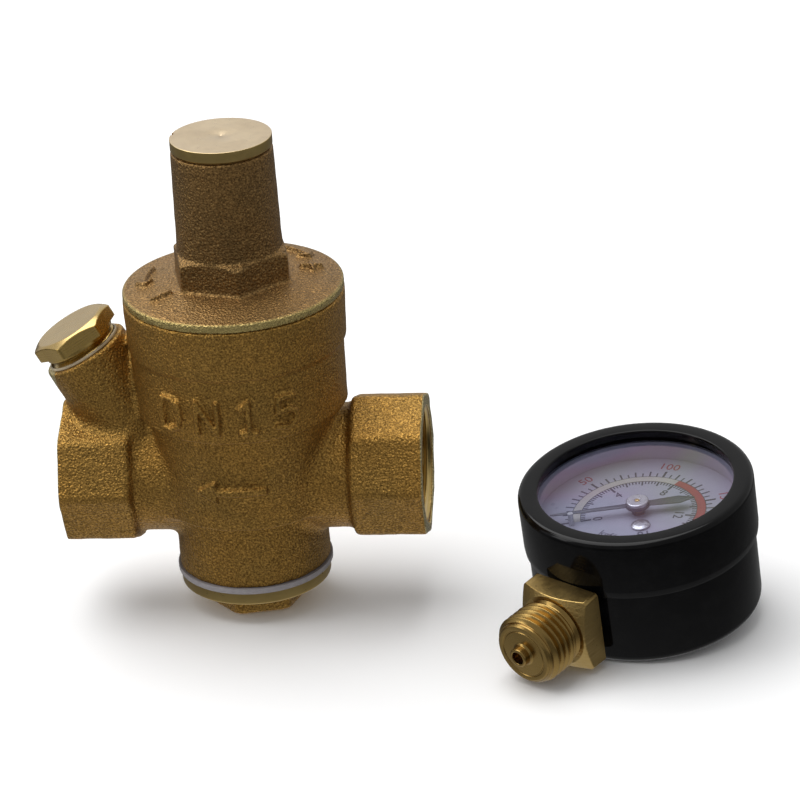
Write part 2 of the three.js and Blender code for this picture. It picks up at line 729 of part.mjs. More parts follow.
// ---- pointer ------------------------------------------------------------------------------
function makePointer() {
  const needle = new THREE.Shape()
    .moveTo(-9, -0.95)
    .lineTo(-9, 0.95)
    .lineTo(0, 0.55)
    .lineTo(12, 0.4)
    .lineTo(15.8, 0.08)
    .lineTo(15.8, -0.08)
    .lineTo(12, -0.4)
    .lineTo(0, -0.55)
    .closePath();
  const blade = plate(needle, ...POINTER_Z);
  const boss = disc(2.3, POINTER_Z[0] - 0.2, POINTER_Z[1], 24);
  const pointer = carve([blade, boss], [disc(1, POINTER_Z[0] - CUT, POINTER_Z[1] + CUT, 16)]).rotateZ(POINTER_REST);
  add(gauge, 'pointer', pointer, pointerGrey);
  const hub = turned(
    [
      [0, POINTER_Z[1] + 0.15],
      [1.95, POINTER_Z[1] + 0.15],
      [1.95, POINTER_Z[1] + 0.5],
      [1.5, POINTER_Z[1] + 0.8],
      [0, POINTER_Z[1] + 0.85],
    ],
    24,
  );
  add(gauge, 'pointer_hub', hub, steel);
}

makeBody();
makeBonnet();
makeTopCap();
makeAdjuster();
makeSpring();
makePiston();
makeStem();
makeDisc();
makeBottomCap();
makePortPlug();
makeGaugeCase();
makeBezelAndWindow();
makeDial();
makeSocket();
makeScrews();
makeBourdonTube();
makeMovement();
makeSector();
makeLink();
makePointer();

const assembly = new THREE.Group();
assembly.add(valve, gauge);
export default assembly;
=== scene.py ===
"""The looks of a brass pressure reducing valve and its pressure gauge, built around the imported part.

Shapes are worked out in millimetres and scaled to metres as each mesh is made. Castings are signed
distance fields meshed on a fine grid, and machined pieces are turned outlines and lofts.
"""

import json
import math

import bpy
import numpy as np
import openvdb
from mathutils import Matrix, Vector


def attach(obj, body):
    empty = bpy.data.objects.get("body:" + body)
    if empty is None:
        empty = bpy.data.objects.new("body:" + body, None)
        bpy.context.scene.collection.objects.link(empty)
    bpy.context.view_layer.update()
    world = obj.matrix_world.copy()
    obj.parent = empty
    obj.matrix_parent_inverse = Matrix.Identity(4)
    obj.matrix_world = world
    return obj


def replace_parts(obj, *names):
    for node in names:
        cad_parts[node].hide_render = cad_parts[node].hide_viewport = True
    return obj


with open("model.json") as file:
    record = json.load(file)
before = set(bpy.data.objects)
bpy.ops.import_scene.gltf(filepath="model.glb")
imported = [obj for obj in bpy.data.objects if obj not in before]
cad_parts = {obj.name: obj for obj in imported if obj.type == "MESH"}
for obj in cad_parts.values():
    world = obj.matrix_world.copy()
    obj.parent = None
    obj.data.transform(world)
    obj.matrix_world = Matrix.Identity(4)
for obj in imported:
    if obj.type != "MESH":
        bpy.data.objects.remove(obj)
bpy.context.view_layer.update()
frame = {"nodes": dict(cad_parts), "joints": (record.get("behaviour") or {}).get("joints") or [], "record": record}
JOINTS = {joint["name"]: joint for joint in frame["joints"]}

MM = 0.001
TAU = 2 * math.pi

# ---- sizes, in millimetres ----
PIPE_Z = 26.0
FACE_X = 33.0
OCTAGON_APOTHEM = 12.66
OCTAGON_START_X = 19.6
PIPE_NECK_R = 11.4
SOCKET_DEPTH = 12.4
SOCKET_MAJOR_R, SOCKET_MINOR_R, SOCKET_PITCH = 10.48, 9.32, 1.814

BODY_BOTTOM, BODY_TOP = 8.0, 60.8
BARREL = [
    (BODY_BOTTOM, 13.9), (20.2, 13.9), (20.9, 16.6), (38.7, 17.35), (39.3, 19.05), (51.2, 19.1),
    (51.7, 19.65), (BODY_TOP, 19.95),
]
BORES = [  # (radius, bottom, top) of the spaces inside the body, a little wider than the frame's
    (12.0, BODY_BOTTOM - 1, 14.0), (11.1, 13.0, 22.3), (6.0, 21.0, 28.0), (11.1, 27.0, 35.0),
    (3.4, 34.0, 40.0), (15.1, 39.0, 55.0), (17.6, 54.0, BODY_TOP + 1),
]
PORT_R, PORT_DEPTH = 7.95, 24.0
GAUGE_THREAD_R, GAUGE_THREAD_ROOT_R, GAUGE_PITCH = 6.58, 5.72, 1.337

RIM_R, RIM_TOP = 19.85, 62.4
BONNET_HEX_AF, BONNET_HEX_TOP, BONNET_HEX_TURN = 19.3, 69.4, math.radians(14)
NECK_TOP, NECK_BORE_R = 88.0, 7.5
CAP_TOP = 90.3
BASE_HEX_AF, BASE_HEX_TOP, BASE_HEX_TURN = 17.0, 4.55, math.radians(-17)

GASKET_BOTTOM, GASKET_TOP = 6.9, 8.0
PLUG_HEX_AF, PLUG_HEX_BOTTOM, PLUG_HEX_TOP, PLUG_HEX_TURN = 14, 2.35, 5.2, math.radians(20)
COLLAR_R = 6.75

DIAL_TOP = 18.5
POINTER_Z = 20.1  # underside of the pointer
CASE_R, BEZEL_R, SIGHT_R, GAUGE_TOP = 20.4, 21.1, 17.5, 25.0
BEZEL_BOTTOM, WINDOW_BOTTOM, WINDOW_TOP = 14.0, 22.15, 23.5
INK = 0.03  # thickness of the printed marks
STEM_Z = 8.7
WRENCH_START, WRENCH_END, STEM_END = 21.4, 26.2, 34.6
ZERO_ANGLE, FULL_ANGLE = math.radians(225), math.radians(-45)
FULL_KGF, KGF_TO_PSI = 16.0, 14.223
POINTER_REST = math.radians(222)
BAND_IN, BAND_OUT, RED_FROM = 10.5, 12.0, 8.0  # the coloured band, and where it turns red, in kgf/cm²


# ---- frames of the tilted pieces ----
def frame_matrix(origin, x_axis, z_axis):
    y_axis = z_axis.cross(x_axis)
    matrix = Matrix((x_axis, y_axis, z_axis)).transposed().to_4x4()
    matrix.translation = origin
    return matrix


def port_matrix():
    """Origin on the boss face, +Z out along the plug."""
    joint = JOINTS["plug_turn"]
    z_axis = Vector(joint["axis"]).normalized()
    x_axis = Vector((0, 1, 0)).cross(z_axis).normalized()
    return frame_matrix(Vector(joint["pos_m"]), x_axis, z_axis)


def gauge_matrix():
    """Origin at the centre of the case's back, +Z out of the dial, the stem toward -Y."""
    joint = JOINTS["pointer_turn"]
    z_axis = -Vector(joint["axis"]).normalized()
    level = Vector((-z_axis.y, z_axis.x, 0)).normalized()
    return frame_matrix(Vector(joint["pos_m"]) - z_axis * POINTER_Z * MM, level, z_axis)


def gauge_round_matrix():
    """The same place with X kept near the frame's own X, for pieces that are round about Z."""
    z_axis = GAUGE.col[2].to_3d()
    x_axis = Vector((0, 1, 0)).cross(z_axis).normalized()
    return frame_matrix(GAUGE.translation, x_axis, z_axis)


PORT = port_matrix()
GAUGE = gauge_matrix()
GAUGE_ROUND = gauge_round_matrix()


# ---- mesh building ----
def piece_from(name, points, faces, material, matrix=None, sharp=35):
    """A mesh object from points in millimetres; its own coordinates stay those of the outline."""
    mesh = bpy.data.meshes.new(name)
    mesh.from_pydata((np.asarray(points, float) * MM).tolist(), [], faces)
    return piece_of_mesh(name, mesh, material, matrix, sharp)


def piece_of_mesh(name, mesh, material, matrix=None, sharp=35):
    face_outward(mesh)
    mesh.polygons.foreach_set("use_smooth", [True] * len(mesh.polygons))
    if sharp:
        mesh.set_sharp_from_angle(angle=math.radians(sharp))
    mesh.materials.append(material)
    obj = bpy.data.objects.new(name, mesh)
    bpy.context.scene.collection.objects.link(obj)
    if matrix is not None:
        obj.matrix_world = matrix
    return obj


def face_outward(mesh):
    mesh.validate()
    mesh.calc_loop_triangles()
    points = np.zeros(len(mesh.vertices) * 3)
    mesh.vertices.foreach_get("co", points)
    points = points.reshape(-1, 3)
    corners = np.zeros(len(mesh.loop_triangles) * 3, int)
    mesh.loop_triangles.foreach_get("vertices", corners)
    a, b, c = (points[corners.reshape(-1, 3)[:, i]] for i in range(3))
    if np.einsum("ij,ij->i", a, np.cross(b, c)).sum() < 0:
        mesh.flip_normals()


def loft(rows, closed=False):
    """Points and faces through rings of equal length; open ends are closed by fans."""
    count = len(rows[0])
    points = [tuple(p) for row in rows for p in row]
    faces = []
    pairs = len(rows) if closed else len(rows) - 1
    for i in range(pairs):
        low, high = i * count, (i + 1) % len(rows) * count
        for j in range(count):
            k = (j + 1) % count
            faces.append((low + j, low + k, high + k, high + j))
    if not closed:
        for start, row in ((0, rows[0]), ((len(rows) - 1) * count, rows[-1])):
            centre = len(points)
            points.append(tuple(np.mean(row, axis=0)))
            faces += [(start + j, start + (j + 1) % count, centre) for j in range(count)]
    return points, faces


def ring(reach, angle, height):
    """Points round Z; reach and height may change with the angle."""
    return np.stack([reach * np.cos(angle), reach * np.sin(angle), height + 0 * angle], 1)


def circle(radius, height, count):
    return ring(radius, np.arange(count) * TAU / count, height)


def rounded(outline, steps=5):
    """Rounds each (r, z, fillet) corner of an outline into short curves of (r, z) points."""
    points = []
    for i, corner in enumerate(outline):
        here = np.array(corner[:2], float)
        fillet = corner[2] if len(corner) > 2 else 0
        if not fillet or i in (0, len(outline) - 1):
            points.append(here)
            continue
        before = np.array(outline[i - 1][:2]) - here
        after = np.array(outline[i + 1][:2]) - here
        spans = np.linalg.norm(before), np.linalg.norm(after)
        before, after = before / spans[0], after / spans[1]
        half = 0.5 * math.acos(np.clip(before @ after, -1, 1))
        reach = min(fillet / math.tan(half), 0.48 * min(spans))
        for t in np.linspace(0, 1, steps + 1):
            start, end = here + before * reach, here + after * reach
            points.append((1 - t) ** 2 * start + 2 * t * (1 - t) * here + t**2 * end)
    return points


def turned(name, outline, material, matrix=None, count=160, closed=False):
    """A turned piece from an outline of (r, z[, fillet]); it starts and ends near the axis,
    or closes on itself."""
    rows = [circle(max(r, 0.01), z, count) for r, z in rounded(outline)]
    return piece_from(name, *loft(rows, closed), material, matrix)


def thread_height(height, turn, pitch):
    """0 at a thread's root and 1 at its crest, rounded."""
    phase = (height / pitch - turn / TAU) % 1
    wave = 1 - np.abs(2 * phase - 1)
    return np.clip(1.25 * wave - 0.125, 0, 1)


def thread_rows(root, crest, pitch, bottom, top, run_in=0.0, run_out=0.0, count=120, per_pitch=12):
    """Rings of a thread about Z. It fades to its root over run_in and run_out at its ends."""
    rows = []
    turn = np.arange(count) * TAU / count
    for height in np.linspace(bottom, top, max(int((top - bottom) / pitch * per_pitch), 4)):
        fade = 1.0
        if run_in:
            fade = min(fade, (height - bottom) / run_in)
        if run_out:
            fade = min(fade, (top - height) / run_out)
        radius = root + (crest - root) * np.clip(fade, 0, 1) * thread_height(height, turn, pitch)
        rows.append(ring(radius, turn, height))
    return rows


def hexagon_rows(across_flats, bottom, top, turn, chamfer):
    """Rings of a hexagon about Z whose top corners are cut back by a cone.
    turn is a corner's angle from the front, toward +X."""
    count, soften = 240, 0.25
    angle = np.arange(count) * TAU / count
    apothem = across_flats / 2
    from_flat = (angle - turn + math.pi / 2 + math.radians(30)) % math.radians(60) - math.radians(30)
    radius = apothem / np.cos(from_flat)
    corner = apothem / math.cos(math.radians(30))
    radius = np.minimum(radius, corner - soften + soften * 0.5 * (radius / corner) ** 8)
    inner = apothem - chamfer
    shoulder = top - (radius - inner) * math.tan(math.radians(30))
    return [ring(radius, angle, bottom), ring(radius, angle, shoulder), ring(inner, angle, top)]


def bevel(obj, width):
    modifier = obj.modifiers.new("edges", "BEVEL")
    modifier.width = width * MM
    modifier.segments = 2
    modifier.limit_method = "ANGLE"
    modifier.angle_limit = math.radians(30)
    return obj


# ---- signed distance fields ----
def grid_axes(low, high, voxel):
    axes = [np.arange(a, b + voxel, voxel, dtype=np.float32) for a, b in zip(low, high)]
    return axes[0][:, None, None], axes[1][None, :, None], axes[2][None, None, :]


def smooth_join(a, b, k):
    """The union of two fields, blended over the width k."""
    h = np.clip(0.5 + 0.5 * (b - a) / k, 0, 1)
    return b + (a - b) * h - k * h * (1 - h)


def smooth_meet(a, b, k):
    """What two fields have in common, its edge rounded over the width k."""
    return -smooth_join(-a, -b, k)


def outline_distance(points, px, pz):
    """Signed distance from a closed polygon, negative inside."""
    points = np.asarray(points, np.float32)
    nearest = np.full(np.broadcast(px, pz).shape, 1e9, np.float32)
    inside = np.ones(nearest.shape, bool)
    for a, b in zip(points, np.roll(points, -1, axis=0)):
        edge = b - a
        wx, wz = px - a[0], pz - a[1]
        t = np.clip((wx * edge[0] + wz * edge[1]) / (edge @ edge), 0, 1)
        nearest = np.minimum(nearest, (wx - t * edge[0]) ** 2 + (wz - t * edge[1]) ** 2)
        above, below = pz >= a[1], pz < b[1]
        left = edge[0] * wz > edge[1] * wx
        inside ^= (above & below & left) | (~above & ~below & ~left)
    distance = np.sqrt(nearest)
    return np.where(inside, distance, -distance)


def stroke_distance(points, px, pz, half_width):
    """Distance from a polyline drawn with a round pen."""
    nearest = np.full(np.broadcast(px, pz).shape, 1e9, np.float32)
    for a, b in zip(points[:-1], points[1:]):
        a, b = np.asarray(a, np.float32), np.asarray(b, np.float32)
        edge = b - a
        t = np.clip(((px - a[0]) * edge[0] + (pz - a[1]) * edge[1]) / (edge @ edge), 0, 1)
        nearest = np.minimum(nearest, (px - a[0] - t * edge[0]) ** 2 + (pz - a[1] - t * edge[1]) ** 2)
    return np.sqrt(nearest) - half_width


def revolved(outline, x, y, z, blur=0.35):
    """The field of a turned outline of (z, r) points down to the axis, its edges blurred round."""
    step = 0.1
    zs = np.arange(outline[0][0] - 4, outline[-1][0] + 4, step, dtype=np.float32)
    rs = np.arange(0, 26, step, dtype=np.float32)
    ring = [(r, height) for height, r in outline]
    closed = [(-8.0, outline[0][0]), *ring, (-8.0, outline[-1][0])]
    table = outline_distance(closed, rs[:, None], zs[None, :])
    table = blurred(table, blur / step)
    radius = np.sqrt(x**2 + y**2)
    u = np.clip(radius / step, 0, len(rs) - 2)
    v = np.clip((z - zs[0]) / step, 0, len(zs) - 2)
    i, j = u.astype(np.int32), v.astype(np.int32)
    fu, fv = u - i, v - j
    low = table[i, j] * (1 - fu) + table[i + 1, j] * fu
    high = table[i, j + 1] * (1 - fu) + table[i + 1, j + 1] * fu
    return (low * (1 - fv) + high * fv).astype(np.float32)


def blurred(table, sigma):
    reach = int(3 * sigma) + 1
    taps = np.exp(-0.5 * (np.arange(-reach, reach + 1) / sigma) ** 2)
    taps /= taps.sum()
    for axis in (0, 1):
        widths = [(reach, reach) if k == axis else (0, 0) for k in (0, 1)]
        padded = np.pad(table, widths, mode="edge")
        table = np.apply_along_axis(lambda line: np.convolve(line, taps, "valid"), axis, padded)
    return table.astype(np.float32)


def cylinder_field(axis_x, axis_y, along, radius, low, high):
    return np.maximum(np.sqrt(axis_x**2 + axis_y**2) - radius, np.maximum(low - along, along - high))


def hexagon_field(x, y, apothem, turn, soften=0.5):
    """A hexagonal bar with softened corners; turn is a corner's angle from the front, toward +X."""
    field = None
    for k in range(3):
        angle = turn - math.pi / 2 + math.radians(30 + 60 * k)
        flat = np.abs(x * math.cos(angle) + y * math.sin(angle)) - apothem
        field = flat if field is None else smooth_meet(field, flat, soften)
    return field


def waves(x, y, z, size):
    """Gentle unevenness of a sand casting."""
    return size * (
        np.sin(0.9 * x + 0.5 * z) * np.sin(0.7 * y - 0.8 * z + 1.0)
        + 0.5 * np.sin(1.9 * x - 1.1 * y) * np.sin(1.7 * z + 0.6 * x + 2.0)
    )


def meshed(name, field, low, voxel, material, sharp=50):
    limit = 3 * voxel
    grid = openvdb.FloatGrid(limit)
    grid.copyFromArray(np.ascontiguousarray(np.clip(field, -limit, limit), dtype=np.float32))
    points, quads = grid.convertToQuads(0.0)
    points = points * voxel + np.asarray(low)
    return piece_from(name, points, quads.tolist(), material, sharp=sharp)


# ---- materials ----
class Nodes:
    """Short hand for building one material's node tree."""

    def __init__(self, name):
        self.material = bpy.data.materials.new(name)
        self.material.use_nodes = True
        self.tree = self.material.node_tree
        self.shader = self.tree.nodes["Principled BSDF"]
        self.coords = self.add("ShaderNodeTexCoord").outputs["Object"]

    def add(self, kind, **values):
        node = self.tree.nodes.new(kind)
        for key, value in values.items():
            setattr(node, key, value)
        return node

    def link(self, source, target):
        self.tree.links.new(source, target)

    def feed(self, socket, value):
        """Links a socket to another node's output, or gives it a number or a colour."""
        if hasattr(value, "is_linked"):
            self.link(value, socket)
        else:
            socket.default_value = (*value, 1) if isinstance(value, tuple) else value

    def set(self, **values):
        for key, value in values.items():
            self.feed(self.shader.inputs[key.replace("_", " ")], value)

    def noise(self, scale, detail=4.0, roughness=0.6, distortion=0.0, vector=None):
        node = self.add("ShaderNodeTexNoise")
        node.inputs["Scale"].default_value = scale
        node.inputs["Detail"].default_value = detail
        node.inputs["Roughness"].default_value = roughness
        node.inputs["Distortion"].default_value = distortion
        self.link(self.coords if vector is None else vector, node.inputs["Vector"])
        return node.outputs["Fac"]

    def cells(self, scale):
        node = self.add("ShaderNodeTexVoronoi")
        node.inputs["Scale"].default_value = scale
        self.link(self.coords, node.inputs["Vector"])
        return node.outputs["Distance"]

    def lines(self, along, scale):
        """Noise that changes along one measure only."""
        node = self.add("ShaderNodeTexNoise", noise_dimensions="1D")
        node.inputs["Scale"].default_value = scale
        node.inputs["Detail"].default_value = 3
        self.link(along, node.inputs["W"])
        return node.outputs["Fac"]

    def stretched(self, scale, turn=(0, 0, 0)):
        """The piece's coordinates, scaled and turned."""
        node = self.add("ShaderNodeMapping")
        node.inputs["Scale"].default_value = scale
        node.inputs["Rotation"].default_value = turn
        self.link(self.coords, node.inputs["Vector"])
        return node.outputs["Vector"]

    def math(self, operation, a, b=0.0, clamp=False):
        node = self.add("ShaderNodeMath", operation=operation, use_clamp=clamp)
        for socket, value in zip(node.inputs, (a, b)):
            self.feed(socket, value)
        return node.outputs[0]

    def range(self, value, low, high, to_low=0.0, to_high=1.0):
        node = self.add("ShaderNodeMapRange")
        self.link(value, node.inputs[0])
        for socket, number in zip(list(node.inputs)[1:5], (low, high, to_low, to_high)):
            socket.default_value = number
        return node.outputs[0]

    def ramp(self, value, *stops):
        node = self.add("ShaderNodeValToRGB")
        elements = node.color_ramp.elements
        while len(elements) < len(stops):
            elements.new(0.5)
        for element, (place, colour) in zip(elements, stops):
            element.position = place
            element.color = (*colour, 1)
        self.link(value, node.inputs[0])
        return node.outputs[0]

    def mix(self, factor, a, b, blend="MIX"):
        node = self.add("ShaderNodeMix", data_type="RGBA", blend_type=blend)
        for index, value in ((0, factor), (6, a), (7, b)):
            self.feed(node.inputs[index], value)
        return node.outputs[2]

    def part(self, axis):
        node = self.add("ShaderNodeSeparateXYZ")
        self.link(self.coords, node.inputs[0])
        return node.outputs["XYZ".index(axis)]

    def bump(self, height, strength, distance, under=None):
        node = self.add("ShaderNodeBump")
        node.inputs["Strength"].default_value = strength
        node.inputs["Distance"].default_value = distance * MM
        self.link(height, node.inputs["Height"])
        if under is not None:
            self.link(under, node.inputs["Normal"])
        return node.outputs[0]

    def from_axis(self):
        """Distance from the piece's own Z axis, in metres."""
        x, y = self.part("X"), self.part("Y")
        squares = self.math("ADD", self.math("MULTIPLY", x, x), self.math("MULTIPLY", y, y))
        return self.math("SQRT", squares)


GRAIN_SCALE, SAND_SCALE = 2900, 2300  # per metre


def cast_brass(name, base=(0.39, 0.215, 0.05), machined=None, cut_colour=(0.6, 0.5, 0.24)):
    """Sand-cast brass. machined(nodes) gives a mask of the places that were cut bright."""
    n = Nodes(name)
    patches = n.noise(70, 3)
    grain = n.noise(GRAIN_SCALE, 3, 0.65)
    sand = n.cells(SAND_SCALE)
    dark = tuple(c * 0.45 for c in base)
    light = tuple(min(c * 1.75, 1.0) for c in base)
    colour = n.ramp(grain, (0.32, dark), (0.5, base), (0.66, light))
    stain = n.mix(n.range(patches, 0.38, 0.66), (1.0, 1.0, 1.0), (0.84, 0.88, 0.95))
    colour = n.mix(1.0, colour, stain, "MULTIPLY")
    roughness = n.range(grain, 0.3, 0.7, 0.55, 0.32)
    normal = n.bump(sand, 0.85, 0.17, n.bump(grain, 0.9, 0.16))
    if machined:
        mask = machined(n)
        colour = n.mix(mask, colour, cut_colour)
        roughness = n.math("SUBTRACT", roughness, n.math("MULTIPLY", mask, 0.14))
    n.set(Base_Color=colour, Metallic=0.96, Roughness=roughness, Normal=normal)
    return n.material


def end_faces(n):
    """The ends of the pipe sockets, faced in a lathe."""
    return n.range(n.math("ABSOLUTE", n.part("X")), 32.75 * MM, 32.85 * MM)


def bonnet_rim(n):
    """The bonnet's turned edge under its cast top."""
    low = n.range(n.part("Z"), 62.25 * MM, 62.5 * MM, 1.0, 0.0)
    return n.math("MULTIPLY", low, n.range(n.from_axis(), 18.9 * MM, 19.2 * MM))


def turned_brass(name, side, face, roughness=0.3, side_marks=0.3, face_marks=0.1, milled=False):
    """Brass cut in a lathe, with its marks around the piece's own Z axis; faces square to that
    axis have the colour face, a painted highlight where it is paler than side. milled adds slanting cutter marks."""
    n = Nodes(name)
    square_on = n.add("ShaderNodeSeparateXYZ")
    n.link(n.tree.nodes["Texture Coordinate"].outputs["Normal"], square_on.inputs[0])
    # Faces square to the axis get the face colour: a painted highlight, paler and less yellow where those faces
    # catch the light.
    flat = n.range(n.math("ABSOLUTE", square_on.outputs["Z"]), 0.75, 0.93)
    colour = n.mix(flat, side, face)
    faded = n.mix(1.0, colour, (0.86, 0.84, 0.82), "MULTIPLY")
    shade = n.mix(n.range(n.noise(160, 3), 0.35, 0.7), colour, faded)
    normal = n.bump(n.lines(n.from_axis(), 5200), face_marks, 0.04)
    normal = n.bump(n.lines(n.part("Z"), 4200), side_marks, 0.04, normal)
    if milled:
        slant = math.radians(35)
        along = n.stretched((1.0, 1.0, 0.06), (slant, slant, 0))
        normal = n.bump(n.noise(1900, 2, 0.5, vector=along), 0.8, 0.1, normal)
    rough = n.range(n.noise(900, 4), 0.3, 0.7, roughness - 0.03, roughness + 0.05)
    n.set(Base_Color=shade, Metallic=1.0, Roughness=rough, Normal=normal)
    return n.material


def steel(name, colour=(0.62, 0.62, 0.63), roughness=0.28):
    n = Nodes(name)
    lines = n.noise(1500, 4, vector=n.stretched((1, 1, 8)))
    n.set(
        Base_Color=n.mix(n.noise(300), colour, tuple(c * 0.8 for c in colour)),
        Metallic=1.0,
        Roughness=n.range(lines, 0.3, 0.7, roughness - 0.05, roughness + 0.12),
        Normal=n.bump(lines, 0.15, 0.03),
    )
    return n.material


def matte(name, colour, roughness=0.7, grain=900, depth=0.06, variation=0.8):
    n = Nodes(name)
    speckle = n.noise(grain, 5, 0.7)
    n.set(
        Base_Color=n.mix(n.range(speckle, 0.3, 0.7), colour, tuple(c * variation for c in colour)),
        Roughness=n.range(speckle, 0.3, 0.7, roughness - 0.08, roughness + 0.08),
        Normal=n.bump(speckle, 0.4, depth),
    )
    return n.material


def black_gloss(name):
    n = Nodes(name)
    wear = n.noise(260, 6, 0.7)
    fine = n.noise(2400, 3)
    n.set(
        Base_Color=n.mix(n.range(wear, 0.45, 0.75), (0.0015, 0.0015, 0.0017), (0.004, 0.004, 0.0042)),
        Roughness=n.range(wear, 0.35, 0.7, 0.07, 0.13),
        Normal=n.bump(fine, 0.03, 0.015),
        IOR=1.27,
    )
    return n.material


def clear_window(name):
    """A clear moulded pane under a thin film: it lets light through and mirrors at a glance."""
    n = Nodes(name)
    tree = n.tree
    film = n.ramp(
        n.noise(24, 2, 0.5, distortion=0.6),
        (0.3, (0.55, 0.75, 1.0)),
        (0.45, (1.0, 0.62, 0.85)),
        (0.55, (1.0, 0.95, 0.55)),
        (0.7, (0.6, 1.0, 0.85)),
    )
    gloss = n.add("ShaderNodeBsdfGlossy")
    gloss.inputs["Roughness"].default_value = 0.03
    n.link(film, gloss.inputs["Color"])
    clear = n.add("ShaderNodeBsdfTransparent")
    clear.inputs["Color"].default_value = (0.9, 0.91, 0.95, 1)
    fresnel = n.add("ShaderNodeFresnel")
    fresnel.inputs["IOR"].default_value = 1.49
    mix = n.add("ShaderNodeMixShader")
    front = n.math("SUBTRACT", 1.0, n.add("ShaderNodeNewGeometry").outputs["Backfacing"])
    sheen = n.math("MULTIPLY", fresnel.outputs[0], 1.5, clamp=True)
    n.link(n.math("MULTIPLY", sheen, front), mix.inputs[0])
    n.link(clear.outputs[0], mix.inputs[1])
    n.link(gloss.outputs[0], mix.inputs[2])
    n.link(mix.outputs[0], tree.nodes["Material Output"].inputs["Surface"])
    tree.nodes.remove(n.shader)
    return n.material


CAST = cast_brass("cast brass body", machined=end_faces)
CAST_BONNET = cast_brass("cast brass bonnet", (0.27, 0.155, 0.054), bonnet_rim, (0.5, 0.39, 0.15))
CAST_HEX = cast_brass("cast brass hexagon")
# The second colour of each turned brass is its face tone; where it is paler than the first, it is a painted
# highlight.
TURNED = turned_brass("turned brass", (0.62, 0.45, 0.17), (0.82, 0.66, 0.44))
PLUG_BRASS = turned_brass("plug brass", (0.58, 0.4, 0.13), (0.6, 0.44, 0.2), 0.26)
STEM_BRASS = turned_brass("stem brass", (0.33, 0.215, 0.07), (0.42, 0.28, 0.09), 0.24, 0.25)
MILLED_BRASS = turned_brass("milled brass", (0.45, 0.31, 0.11), (0.5, 0.35, 0.13), 0.3, 0, milled=True)
GAUGE_BRASS = turned_brass("movement brass", (0.6, 0.43, 0.17), (0.6, 0.43, 0.17), 0.3)
STEEL = steel("turned steel")
SPRING_STEEL = steel("spring wire", (0.4, 0.41, 0.43), 0.35)
RUBBER = matte("black rubber", (0.02, 0.02, 0.021), 0.65)
GASKET = matte("grey fibre gasket", (0.3, 0.28, 0.29), 0.75, 1400)
WASHER = matte("cream washer", (0.46, 0.38, 0.25), 0.55, 700, 0.03, 0.92)
BLACK = black_gloss("gloss black shell")
CLEAR = clear_window("clear window")
# The dial's white is darkened to this grey: painted shade for the shadow of the bezel and the film over the dial,
# also used on the wall inside the bezel.
DIAL_WHITE_SHADED = matte("dial lacquer in painted shade", (0.36, 0.36, 0.42), 0.35, 160, 0.01, 0.9)
INK_BLACK = matte("black ink", (0.025, 0.025, 0.05), 0.5, 500, 0.005)
INK_RED = matte("red ink", (0.3, 0.03, 0.045), 0.5, 500, 0.005, 0.85)
INK_BAND = matte("pale band ink", (0.42, 0.40, 0.36), 0.5, 500, 0.005, 0.9)
POINTER_DARK = matte("pointer lacquer", (0.045, 0.045, 0.06), 0.35, 600, 0.01)


# ---- castings ----
GLYPHS = {  # strokes on a 3.8 by 6 field
    "D": [[(0, 0), (0, 6), (2, 6), (3.4, 5.2), (3.9, 3), (3.4, 0.8), (2, 0), (0, 0)]],
    "N": [[(0, 0), (0, 6), (3.8, 0), (3.8, 6)]],
    "1": [[(0.7, 4.7), (2.1, 6), (2.1, 0)], [(0.8, 0), (3.4, 0)]],
    "5": [[(3.5, 6), (0.5, 6), (0.3, 3.3), (2.3, 3.7), (3.7, 2.8), (3.7, 1), (2.3, 0), (0.2, 0.5)]],
}
SIZE_MARK = "DN15"
MARK_STEP, MARK_LEFT, MARK_BOTTOM = 7.1, -12.6, 41.4
RELIEF = 0.9


def raised(distance, height, edge=0.16):
    """How far a flat relief stands up where the distance from its strokes is this."""
    return height * np.clip(0.5 - distance / (2 * edge), 0, 1)


def body_relief(x, y, z):
    around = np.arctan2(x, -y)
    reach = 19.1 * around
    height = np.zeros_like(reach + z)
    for i, letter in enumerate(SIZE_MARK):
        for strokes in GLYPHS[letter]:
            moved = [(a + MARK_LEFT + i * MARK_STEP, 0.97 * b + MARK_BOTTOM) for a, b in strokes]
            height = np.maximum(height, raised(stroke_distance(moved, reach, z, 0.5), RELIEF))
    along = 17.2 * around
    arrow = [(-7.3, 28.8), (-3.3, 31.1), (-3.3, 29.5), (5.7, 29.5), (5.7, 28.1), (-3.3, 28.1), (-3.3, 26.5)]
    height = np.maximum(height, raised(outline_distance(arrow, along, z), RELIEF))
    return np.where(np.abs(around) < 1.2, height, 0)


def pipe_arm(x, y, z, side):
    along = side * x
    up = z - PIPE_Z
    octagon = None
    for k in range(4):
        angle = math.radians(22.5 + 45 * k)
        flat = np.abs(y * math.cos(angle) + up * math.sin(angle)) - OCTAGON_APOTHEM
        octagon = flat if octagon is None else smooth_meet(octagon, flat, 0.7)
    octagon = smooth_meet(octagon, along - FACE_X, 0.4)
    shoulder = OCTAGON_START_X + 0.22 * np.maximum(np.sqrt(y**2 + up**2) - PIPE_NECK_R, 0)
    octagon = smooth_meet(octagon, shoulder - along, 0.9)
    neck = np.maximum(np.sqrt(y**2 + up**2) - PIPE_NECK_R, np.maximum(-along, along - 30))
    return smooth_join(octagon, neck, 1.2)


def pipe_bore(x, y, z, side, passage_z):
    along = side * x
    radius = np.sqrt(y**2 + (z - PIPE_Z) ** 2)
    socket = np.maximum(radius - SOCKET_MAJOR_R - 0.15, FACE_X - SOCKET_DEPTH - along)
    passage = np.maximum(np.sqrt(y**2 + (z - passage_z) ** 2) - 5.6, 8 - along)
    return np.minimum(socket, np.maximum(passage, along - FACE_X))


